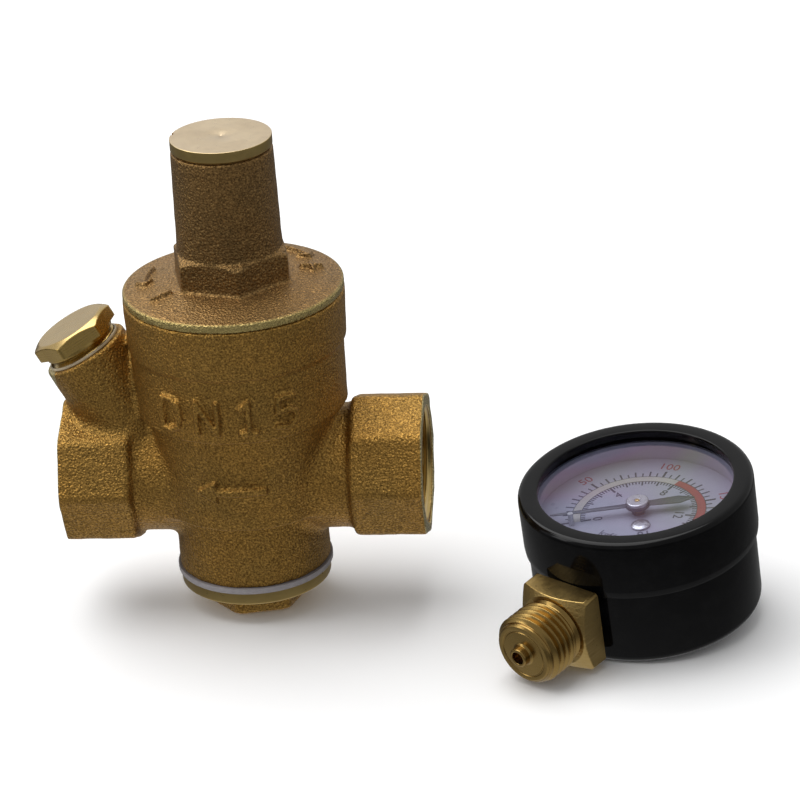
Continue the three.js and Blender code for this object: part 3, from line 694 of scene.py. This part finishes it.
def valve_body():
    voxel = 0.27
    low, high = (-35.5, -21.5, BODY_BOTTOM - 1.5), (34.5, 21.5, BODY_TOP + 1.5)
    x, y, z = grid_axes(low, high, voxel)
    field = revolved(BARREL, x, y, z, 0.18)
    field = field - body_relief(x, y, z)
    arms = np.minimum(pipe_arm(x, y, z, 1), pipe_arm(x, y, z, -1))
    to_port = PORT.inverted()
    origin, rows = [v / MM for v in PORT.translation], [to_port[i] for i in range(3)]
    px, py, pz = x - origin[0], y - origin[1], z - origin[2]
    u, v, w = (row[0] * px + row[1] * py + row[2] * pz for row in rows)
    boss = smooth_meet(np.sqrt(u**2 + v**2) - PORT_R, np.maximum(w, -PORT_DEPTH - w), 0.6)
    arms = smooth_join(arms, boss, 2.2)
    field = smooth_join(field, arms, 1.6)
    field = np.maximum(field, np.maximum(BODY_BOTTOM - z, z - BODY_TOP))
    field = field + waves(x, y, z, 0.035)
    for radius, bottom, top in BORES:
        field = np.maximum(field, -cylinder_field(x, y, z, radius, bottom, top))
    for side, passage_z in ((1, 20.0), (-1, 31.0)):
        field = np.maximum(field, -pipe_bore(x, y, z, side, passage_z))
    port_bore = np.maximum(np.sqrt(u**2 + v**2) - 6.75, -8.0 - w)
    sense = np.maximum(np.sqrt(u**2 + v**2) - 2.5, np.maximum(-22.0 - w, w + 7))
    field = np.maximum(field, -np.minimum(port_bore, sense))
    body = meshed("cast_body", field, low, voxel, CAST)
    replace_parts(body, "valve_body")
    return finish_piece(body, "valve")


def bonnet_relief(x, y):
    """A turning arrow with a minus at the left, and one with a plus at the right."""
    strokes = []
    for start, end, radius in ((162, 190, 15.8), (62, 36, 15.8)):
        turn = np.radians(np.linspace(start, end, 7))
        arc = [(radius * math.cos(t), radius * math.sin(t)) for t in turn]
        tip = np.array(arc[-1])
        back = np.array(arc[-2]) - tip
        back = back / np.linalg.norm(back) * 1.9
        strokes.append(arc)
        for swing in (0.75, -0.75):
            c, s = math.cos(swing), math.sin(swing)
            barb = (tip[0] + c * back[0] - s * back[1], tip[1] + s * back[0] + c * back[1])
            strokes.append([tuple(tip), barb])
    for angle, crossed in ((216, False), (17, True)):
        out = np.array([math.cos(math.radians(angle)), math.sin(math.radians(angle))])
        across = np.array([-out[1], out[0]])
        strokes.append([tuple(12.6 * out), tuple(16.2 * out)])
        if crossed:
            strokes.append([tuple(14.4 * out - 1.6 * across), tuple(14.4 * out + 1.6 * across)])
    height = 0
    for stroke in strokes:
        height = np.maximum(height, raised(stroke_distance(stroke, x, y, 0.36), 0.8, 0.2))
    return height


def bonnet():
    voxel = 0.27
    low, high = (-20.8, -20.8, BODY_TOP - 6.5), (20.8, 20.8, NECK_TOP + 1.2)
    x, y, z = grid_axes(low, high, voxel)
    flange = revolved([(BODY_TOP, RIM_R), (RIM_TOP, RIM_R), (63.3, 14.0), (63.9, 9.0)], x, y, z, 0.16)
    neck = revolved([(61.0, 9.7), (69.0, 9.5), (72.0, 9.35), (NECK_TOP, 9.1)], x, y, z, 0.16)
    nut = hexagon_field(x, y, BONNET_HEX_AF / 2, BONNET_HEX_TURN, 0.25)
    nut = smooth_meet(nut, z - BONNET_HEX_TOP, 0.25)
    cone = np.sqrt(x**2 + y**2) - (BONNET_HEX_AF / 2 + 0.25 + 1.4 * (BONNET_HEX_TOP - z))
    nut = smooth_meet(nut, 0.58 * cone, 0.2)
    nut = np.maximum(nut, 61.5 - z)
    top = np.where(z > 61.5, bonnet_relief(x, y) * (np.sqrt(x**2 + y**2) > 11.5), 0)
    field = smooth_join(flange - top, smooth_join(nut, neck, 0.3), 0.7)
    field = field + waves(x, y, z, 0.03) * (z > RIM_TOP + 0.3)
    field = np.maximum(field, BODY_TOP - z)
    spigot = cylinder_field(x, y, z, 17.1, BODY_TOP - 6.2, BODY_TOP + 0.5)
    field = np.minimum(field, spigot)
    chamber = [(50.0, 14.2), (60.0, 14.2), (64.0, NECK_BORE_R), (NECK_TOP + 4, NECK_BORE_R)]
    field = np.maximum(field, -revolved(chamber, x, y, z, 0.1))
    piece = meshed("cast_bonnet", field, low, voxel, CAST_BONNET)
    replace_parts(piece, "bonnet")
    return finish_piece(piece, "valve")


# ---- machined pieces of the valve ----
def finish_piece(obj, body):
    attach(obj, body)
    return obj


def socket_threads():
    """Helical linings of the two pipe sockets."""
    for name, side in (("inlet_thread", 1), ("outlet_thread", -1)):
        low, high = FACE_X - SOCKET_DEPTH + 0.4, FACE_X - 0.35
        rows = thread_rows(SOCKET_MAJOR_R, SOCKET_MINOR_R, SOCKET_PITCH, low, high, 0.8, 1.3)
        back = [circle(SOCKET_MAJOR_R + 0.5, height, len(rows[0])) for height in (high, low)]
        points, faces = loft(rows + back, closed=True)
        turn = Matrix.Rotation(side * math.pi / 2, 4, "Y")
        place = Matrix.Translation((0, 0, PIPE_Z * MM)) @ turn
        piece = piece_from(name, points, faces, TURNED, place, sharp=60)
        finish_piece(piece, "valve")


def top_cap():
    outline = [
        (0, 85.1), (7.1, 85.1, 0.2), (7.1, 85.8), (5.9, 85.8), (5.9, 87.2), (7.1, 87.2),
        (7.1, NECK_TOP), (8.3, NECK_TOP), (8.3, NECK_TOP + 0.45), (9.05, NECK_TOP + 0.45, 0.1),
        (9.05, CAP_TOP, 0.12), (8.2, CAP_TOP), (4.0, CAP_TOP), (0.5, CAP_TOP),
        (0.2, CAP_TOP - 0.12), (0, CAP_TOP - 0.14),
    ]
    cap = turned("cap", outline, TURNED, count=200)
    cut_box(cap, (-9.1, 1.2, CAP_TOP), (1.1, 1.0, 1.2))
    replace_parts(cap, "top_cap")
    finish_piece(cap, "cap")


def cut_box(piece, middle, size, place=None):
    """Cuts a box out of a piece; its middle and size are in the piece's own millimetres."""
    corners = [(a, b, c) for a in (-0.5, 0.5) for b in (-0.5, 0.5) for c in (-0.5, 0.5)]
    points = [[m + k * side for m, k, side in zip(middle, corner, size)] for corner in corners]
    faces = [(0, 1, 3, 2), (4, 6, 7, 5), (0, 4, 5, 1), (2, 3, 7, 6), (0, 2, 6, 4), (1, 5, 7, 3)]
    cutter = piece_from("cutter", points, faces, piece.data.materials[0], place)
    modifier = piece.modifiers.new("cut", "BOOLEAN")
    modifier.operation = "DIFFERENCE"
    modifier.object = cutter
    graph = bpy.context.evaluated_depsgraph_get()
    piece.data = bpy.data.meshes.new_from_object(piece.evaluated_get(graph))
    piece.modifiers.clear()
    piece.data.set_sharp_from_angle(angle=math.radians(30))
    bpy.data.objects.remove(cutter)


def bottom_cap():
    outline = [
        (0, BASE_HEX_TOP), (13.8, BASE_HEX_TOP, 0.3), (13.8, GASKET_BOTTOM, 0.15),
        (11.7, GASKET_BOTTOM), (11.7, 13.0, 0.3), (4.4, 13.0, 0.2), (4.4, 3.5), (0, 3.5),
    ]
    flange = turned("bottom_flange", outline, TURNED, count=200)
    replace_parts(flange, "bottom_cap")
    finish_piece(flange, "valve")
    voxel = 0.22
    low, high = (-10.8, -10.8, -0.8), (10.8, 10.8, BASE_HEX_TOP + 0.9)
    x, y, z = grid_axes(low, high, voxel)
    nut = hexagon_field(x, y, BASE_HEX_AF / 2, BASE_HEX_TURN)
    nut = smooth_meet(nut, -z, 0.7)
    cone = np.sqrt(x**2 + y**2) - (9.0 + 1.6 * z)
    nut = np.maximum(smooth_meet(nut, cone, 0.4), z - BASE_HEX_TOP - 0.3)
    nut = np.maximum(nut, -cylinder_field(x, y, z, 4.4, 3.4, BASE_HEX_TOP + 1))
    nut = np.maximum(nut, -z)
    hexagon = meshed("bottom_hexagon", nut + waves(x, y, z, 0.02), low, voxel, CAST_HEX)
    finish_piece(hexagon, "valve")


def gasket():
    low, high = GASKET_BOTTOM, GASKET_TOP
    outline = [(12.1, low), (14.3, low, 0.2), (14.3, high, 0.2), (12.1, high)]
    piece = turned("gasket", outline, GASKET, count=160, closed=True)
    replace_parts(piece, "bottom_gasket")
    finish_piece(piece, "valve")


def port_plug():
    head = hexagon_rows(PLUG_HEX_AF, PLUG_HEX_BOTTOM, PLUG_HEX_TOP, PLUG_HEX_TURN, 0.55)
    piece = bevel(piece_from("plug_head", *loft(head), PLUG_BRASS, PORT, sharp=25), 0.12)
    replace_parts(piece, "port_plug")
    finish_piece(piece, "plug")
    collar = [(0, 1.5), (COLLAR_R, 1.5, 0.15), (COLLAR_R, 2.4, 0.1), (0, 2.4)]
    finish_piece(turned("plug_collar", collar, PLUG_BRASS, PORT), "plug")
    rows = thread_rows(GAUGE_THREAD_ROOT_R, GAUGE_THREAD_R, GAUGE_PITCH, -6.8, 1.6, run_in=0.8)
    thread = piece_from("plug_thread", *loft(rows), PLUG_BRASS, PORT, sharp=60)
    finish_piece(thread, "plug")


def port_washer():
    outline = [(6.7, 0.02), (7.05, 0.02, 0.1), (7.05, 0.5, 0.1), (6.7, 0.5)]
    piece = turned("washer", outline, WASHER, PORT, closed=True)
    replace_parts(piece, "port_plug_washer")
    finish_piece(piece, "plug_washer")


# ---- gauge ----
def gauge_shell():
    case = [
        (0, 0), (15.5, 0, 0.3), (15.9, 0.25, 0.3), (16.6, 0.25, 0.3), (17.0, 0, 0.3),
        (CASE_R, 0, 1.3), (CASE_R, 21.9, 0.2), (19.0, 21.9, 0.1), (19.0, DIAL_TOP - 0.8),
        (18.0, DIAL_TOP - 0.8), (18.0, 2.2, 0.5), (0, 2.2),
    ]
    shell = turned("case_shell", case, BLACK, GAUGE_ROUND, count=220)
    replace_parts(shell, "gauge_case")
    finish_piece(shell, "gauge")
    bezel = [
        (CASE_R + 0.08, BEZEL_BOTTOM), (BEZEL_R - 0.12, BEZEL_BOTTOM, 0.2),
        (BEZEL_R, BEZEL_BOTTOM + 1.2, 0.5), (BEZEL_R, GAUGE_TOP, 1.2),
        (SIGHT_R, GAUGE_TOP, 0.35), (SIGHT_R, WINDOW_TOP + 0.1),
        (CASE_R + 0.08, WINDOW_TOP + 0.1),
    ]
    ring = turned("bezel_ring", bezel, BLACK, GAUGE_ROUND, count=220, closed=True)
    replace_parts(ring, "gauge_bezel")
    finish_piece(ring, "gauge")
    low, high = DIAL_TOP + 0.05, WINDOW_BOTTOM - 0.1
    liner = [(18.3, low), (18.9, low), (18.9, high, 0.1), (18.3, high, 0.1)]
    wall = turned("dial_wall", liner, DIAL_WHITE_SHADED, GAUGE_ROUND, count=160, closed=True)
    finish_piece(wall, "gauge")
    low, high = WINDOW_BOTTOM, WINDOW_TOP
    pane = [(0, low), (20.0, low, 0.1), (20.0, high - 0.02, 0.1), (0, high)]
    window = turned("window_pane", pane, CLEAR, GAUGE_ROUND, count=160)
    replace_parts(window, "gauge_window")
    finish_piece(window, "gauge")


class Marks:
    """Collects flat printed shapes on the dial into one mesh."""

    def __init__(self):
        self.points = []
        self.faces = []

    def strip(self, inner, outer, height=DIAL_TOP + 0.01):
        """A raised strip between two equal runs of (x, y) points."""
        start = len(self.points)
        count = len(inner)
        for z in (height, height + INK):
            self.points += [(x, y, z) for x, y in inner] + [(x, y, z) for x, y in outer]
        low, high = start, start + 2 * count
        for i in range(count - 1):
            a, b, c, d = i, i + 1, count + i + 1, count + i
            self.faces.append((high + a, high + b, high + c, high + d))
            self.faces.append((low + d, low + c, low + b, low + a))
            self.faces.append((low + a, low + b, high + b, high + a))
            self.faces.append((low + c, low + d, high + d, high + c))
        for a, b in ((count, 0), (count - 1, 2 * count - 1)):
            self.faces.append((low + a, low + b, high + b, high + a))

    def band(self, inner, outer, start, end, steps=90):
        turn = np.linspace(start, end, steps + 1)
        runs = [[(r * math.cos(t), r * math.sin(t)) for t in turn] for r in (inner, outer)]
        self.strip(*runs)

    def tick(self, angle, inner, outer, width):
        out = np.array([math.cos(angle), math.sin(angle)])
        side = np.array([-out[1], out[0]]) * width / 2
        runs = [[inner * out + s * side, outer * out + s * side] for s in (-1, 1)]
        self.strip(*runs)

    def text(self, words, at, size, turn=0.0):
        """Figures and units, laid on the dial with their middle at (x, y)."""
        curve = bpy.data.curves.new("figure", "FONT")
        curve.body = words
        curve.size = size
        curve.align_x = curve.align_y = "CENTER"
        curve.extrude = INK / 2
        curve.resolution_u = 3
        holder = bpy.data.objects.new("figure", curve)
        bpy.context.scene.collection.objects.link(holder)
        graph = bpy.context.evaluated_depsgraph_get()
        mesh = bpy.data.meshes.new_from_object(holder.evaluated_get(graph))
        start = len(self.points)
        c, s = math.cos(turn), math.sin(turn)
        for vertex in mesh.vertices:
            x, y, z = vertex.co
            self.points.append((at[0] + c * x - s * y, at[1] + s * x + c * y, DIAL_TOP + 0.01 + INK / 2 + z))
        self.faces += [tuple(start + i for i in face.vertices) for face in mesh.polygons]
        bpy.data.objects.remove(holder)
        bpy.data.meshes.remove(mesh)

    def piece(self, name, material):
        obj = piece_from(name, self.points, self.faces, material, GAUGE, sharp=30)
        return finish_piece(obj, "gauge")


def kgf_angle(value):
    return ZERO_ANGLE + (FULL_ANGLE - ZERO_ANGLE) * value / FULL_KGF


def psi_angle(value):
    return kgf_angle(value / KGF_TO_PSI)


def on_dial(angle, radius):
    return radius * math.cos(angle), radius * math.sin(angle)


def dial():
    face = [(1.2, DIAL_TOP - 0.7), (18.8, DIAL_TOP - 0.7, 0.1), (18.8, DIAL_TOP, 0.1), (1.2, DIAL_TOP)]
    plate = turned("dial_plate", face, DIAL_WHITE_SHADED, GAUGE_ROUND, count=160, closed=True)
    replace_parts(plate, "gauge_dial")
    finish_piece(plate, "gauge")
    pale, red, black = Marks(), Marks(), Marks()
    pale.band(BAND_IN, BAND_OUT, kgf_angle(0), kgf_angle(RED_FROM))
    red.band(BAND_IN, BAND_OUT, kgf_angle(RED_FROM), kgf_angle(FULL_KGF))
    black.band(BAND_IN - 0.12, BAND_IN, kgf_angle(0), kgf_angle(FULL_KGF))
    black.band(BAND_OUT, BAND_OUT + 0.12, kgf_angle(0), kgf_angle(FULL_KGF))
    for step in range(81):
        value = step / 5
        long, middle = step % 20 == 0, step % 5 == 0
        reach, width = (1.9, 0.4) if long else (1.4, 0.3) if middle else (0.9, 0.22)
        black.tick(kgf_angle(value), BAND_IN - reach, BAND_IN, width)
    for value in range(0, 226, 5):
        long, middle = value % 50 == 0, value % 10 == 0
        reach, width = (2.0, 0.4) if long else (1.7, 0.3) if middle else (1.2, 0.24)
        black.tick(psi_angle(value), BAND_OUT, BAND_OUT + reach, width)
    for value in (0, 4, 8, 12, 16):
        turn = kgf_angle(value)
        black.text(str(value), on_dial(turn, BAND_IN - 3.2), 2.5, turn - math.pi / 2)
    for value in (50, 100, 150, 200):
        turn = psi_angle(value)
        red.text(str(value), on_dial(turn, BAND_OUT + 3.6), 2.7, turn - math.pi / 2)
    black.text("kgf/cm²", (1.2, -8.6), 2.2)
    red.text("psi", (0.4, -14.6), 2.2)
    pale.piece("dial_band_pale", INK_BAND)
    red.piece("dial_marks_red", INK_RED)
    black.piece("dial_marks_black", INK_BLACK)


def pointer():
    """A long thin needle whose tail is a pointed blade, ridged along its middle."""
    half = [
        (-10.2, 0.05), (-7.6, 1.15), (-7.2, 1.2), (-1.8, 0.8), (2.0, 0.62), (9.0, 0.5),
        (15.2, 0.28), (15.8, 0.05),
    ]
    low, edge, ridge = POINTER_Z, POINTER_Z + 0.14, POINTER_Z + 0.26
    rows = [
        [(x, -w, low), (x, w, low), (x, w, edge), (x, 0, ridge), (x, -w, edge)] for x, w in half
    ]
    place = GAUGE @ Matrix.Rotation(POINTER_REST, 4, "Z")
    needle = piece_from("needle", *loft(rows), POINTER_DARK, place, sharp=20)
    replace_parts(needle, "pointer")
    finish_piece(needle, "pointer_set")
    z = POINTER_Z - 0.2
    boss = [(1.0, z), (2.2, z, 0.1), (2.2, z + 0.58, 0.15), (1.0, z + 0.58)]
    ring = turned("needle_boss", boss, POINTER_DARK, place, count=80, closed=True)
    finish_piece(ring, "pointer_set")
    z = POINTER_Z + 0.4
    cap = [
        (0, z), (2.05, z, 0.08), (2.05, z + 0.5, 0.15), (1.85, z + 0.62, 0.1),
        (0.6, z + 0.62, 0.08), (0.5, z + 0.5, 0.05), (0, z + 0.48),
    ]
    hub = turned("hub_cap", cap, STEEL, place, count=80)
    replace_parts(hub, "pointer_hub")
    finish_piece(hub, "pointer_set")
    pin = [(0, z + 0.3), (0.42, z + 0.3), (0.42, z + 0.7, 0.1), (0, z + 0.74)]
    finish_piece(turned("arbor_tip", pin, GAUGE_BRASS, place, count=40), "pointer_set")


def dial_screw():
    """A low slotted head that holds the dial to the movement."""
    turn, out = math.radians(-48), 4.6
    place = GAUGE @ Matrix.Translation((out * math.cos(turn) * MM, out * math.sin(turn) * MM, 0))
    z = DIAL_TOP + 0.05
    head = [(0, z), (1.7, z, 0.08), (1.7, z + 0.28, 0.15), (1.1, z + 0.55, 0.4), (0, z + 0.6)]
    screw = turned("dial_screw_head", head, STEEL, place, count=80)
    cut_box(screw, (0, 0, z + 0.6), (4.0, 0.42, 0.5), place)
    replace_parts(screw, "dial_screw")
    finish_piece(screw, "gauge")


def gauge_stem():
    """The square-shouldered stem with its G1/4 thread and nozzle, turned about its own axis."""
    place = GAUGE @ Matrix.Translation((0, 0, STEM_Z * MM)) @ Matrix.Rotation(math.pi / 2, 4, "X")
    square = piece_from("stem_square", *loft(square_rows()), MILLED_BRASS, place, sharp=20)
    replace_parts(bevel(square, 0.1), "gauge_socket")
    finish_piece(square, "gauge")
    shank = [(0, 12.0), (5.0, 12.0), (5.0, 21.6), (0, 21.6)]
    finish_piece(turned("stem_shank", shank, STEM_BRASS, place, count=80), "gauge")
    z = WRENCH_END
    neck = [(0, z - 0.3), (6.3, z - 0.3), (5.45, z + 0.5, 0.4), (5.45, z + 1.6), (0, z + 1.6)]
    finish_piece(turned("stem_neck", neck, STEM_BRASS, place), "gauge")
    end = STEM_END
    span = (WRENCH_END + 0.9, end - 0.25)
    rows = thread_rows(GAUGE_THREAD_ROOT_R, GAUGE_THREAD_R, GAUGE_PITCH, *span, 0.9, 1.1, 160, 18)
    thread = piece_from("stem_thread", *loft(rows), STEM_BRASS, place, sharp=60)
    finish_piece(thread, "gauge")
    nose = [
        (0, end - 1.4), (5.75, end - 1.4), (5.75, end - 0.35, 0.1), (5.35, end, 0.15),
        (4.65, end, 0.1), (4.55, end - 0.16, 0.05), (4.35, end - 0.16, 0.05), (4.25, end, 0.1),
        (2.1, end, 0.3), (1.8, end + 0.3, 0.2), (1.75, end + 1.65, 0.35),
        (1.2, end + 1.65, 0.15), (1.15, end - 0.9), (0, end - 0.95),
    ]
    finish_piece(turned("stem_nose", nose, STEM_BRASS, place, count=160), "gauge")


def square_rows():
    """Rings of the stem's square, its front corners turned off by a cone."""
    count, half, corner = 192, 7.0, 9.6
    angle = np.arange(count) * TAU / count
    from_flat = (angle + math.pi / 4) % (math.pi / 2) - math.pi / 4
    radius = np.minimum(half / np.cos(from_flat), corner)
    rim = 6.75
    drop = (radius - rim) * math.tan(math.radians(27))
    return [
        ring(radius, angle, WRENCH_START),
        ring(radius, angle, WRENCH_END - drop),
        ring(rim, angle, WRENCH_END),
    ]


# ---- pieces kept as the frame made them ----
def dress_kept_nodes():
    by_slot = {
        "turned_brass": TURNED,
        "gauge_brass": GAUGE_BRASS,
        "steel": STEEL,
        "spring_steel": SPRING_STEEL,
        "black_rubber": RUBBER,
    }
    slots = {part["node"]: part["material_slot"] for part in frame["record"]["subparts"]}
    for name, obj in frame["nodes"].items():
        if obj.hide_render:
            continue
        material = by_slot[slots[name]]
        obj.data.materials.clear()
        obj.data.materials.append(material)
        obj.data.polygons.foreach_set("material_index", [0] * len(obj.data.polygons))


# ---- camera, floor and light ----
VIEW_AZIMUTH, VIEW_ELEVATION, VIEW_ROLL = (math.radians(v) for v in (6.35, 24.39, 3.67))
VIEW_DISTANCE = 0.6369
ROOM_FRONT, ROOM_BACK, ROOM_BELOW, ROOM_UNDER = 0.38, 0.66, 0.13, 0.6
VIEW_AIM = Vector((0.0278, 0.0074, 0.0353))
LENS, SENSOR = 156.7, 36


def camera():
    a, e = VIEW_AZIMUTH, VIEW_ELEVATION
    ahead = Vector((-math.sin(a) * math.cos(e), math.cos(a) * math.cos(e), -math.sin(e)))
    level = Vector((math.cos(a), math.sin(a), 0))
    up = level.cross(ahead)
    right = math.cos(VIEW_ROLL) * level - math.sin(VIEW_ROLL) * up
    above = math.sin(VIEW_ROLL) * level + math.cos(VIEW_ROLL) * up
    data = bpy.data.cameras.new("camera")
    data.lens = LENS
    data.sensor_width = SENSOR
    data.clip_start, data.clip_end = 0.05, 20
    view = bpy.data.objects.new("camera", data)
    bpy.context.scene.collection.objects.link(view)
    turn = Matrix((right, above, -ahead)).transposed().to_4x4()
    view.matrix_world = Matrix.Translation(VIEW_AIM - ahead * VIEW_DISTANCE) @ turn
    bpy.context.scene.camera = view


def floor():
    n = Nodes("pale floor")
    n.set(Base_Color=n.mix(n.noise(6), (0.98, 0.98, 0.98), (0.97, 0.97, 0.975)), Roughness=0.7)
    reach = 3000
    points = [(-reach, -reach, 0), (reach, -reach, 0), (reach, reach, 0), (-reach, reach, 0)]
    plane = piece_from("floor", points, [(0, 1, 2, 3)], n.material, sharp=0)
    plane.visible_glossy = False


def area_light(name, place, aim, size, power):
    data = bpy.data.lights.new(name, "AREA")
    data.shape = "RECTANGLE"
    data.size, data.size_y = size
    data.energy = power
    light = bpy.data.objects.new(name, data)
    bpy.context.scene.collection.objects.link(light)
    light.location = place
    light.rotation_mode = "QUATERNION"
    light.rotation_quaternion = (Vector(aim) - Vector(place)).to_track_quat("-Z", "Y")


def studio():
    """A pale room, brightest at the back and dimmest just below the horizon, where only
    reflections look, since the floor doesn't show in them."""
    world = bpy.data.worlds.new("studio")
    world.use_nodes = True
    bpy.context.scene.world = world
    tree = world.node_tree
    direction = tree.nodes.new("ShaderNodeSeparateXYZ")
    tree.links.new(tree.nodes.new("ShaderNodeTexCoord").outputs["Generated"], direction.inputs[0])

    def span(source, low, high, to_low, to_high):
        node = tree.nodes.new("ShaderNodeMapRange")
        node.interpolation_type = "SMOOTHSTEP"
        tree.links.new(source, node.inputs[0])
        for socket, value in zip(list(node.inputs)[1:5], (low, high, to_low, to_high)):
            socket.default_value = value
        return node.outputs[0]

    depth = span(direction.outputs["Y"], -0.9, 0.9, ROOM_FRONT, ROOM_BACK)
    rise = span(direction.outputs["Z"], -0.14, 0.0, 0.0, 1.0)
    below = span(direction.outputs["Z"], -0.95, -0.4, ROOM_UNDER, ROOM_BELOW)
    blend = tree.nodes.new("ShaderNodeMix")
    blend.data_type = "FLOAT"
    tree.links.new(rise, blend.inputs[0])
    tree.links.new(below, blend.inputs[2])
    tree.links.new(depth, blend.inputs[3])
    tree.links.new(blend.outputs[0], tree.nodes["Background"].inputs["Strength"])
    tree.nodes["Background"].inputs["Color"].default_value = (1, 1, 1, 1)
    centre = (0.03, 0, 0.03)
    area_light("overhead", (-0.3, 0.15, 1.0), centre, (1.1, 1.1), 11.0)
    area_light("left", (-0.9, -0.25, 0.45), centre, (0.3, 0.5), 1.2)
    bpy.context.scene.view_settings.view_transform = "Standard"


camera()
valve_body()
bonnet()
socket_threads()
top_cap()
bottom_cap()
gasket()
port_plug()
port_washer()
gauge_shell()
dial()
dial_screw()
pointer()
gauge_stem()
dress_kept_nodes()
floor()
studio()
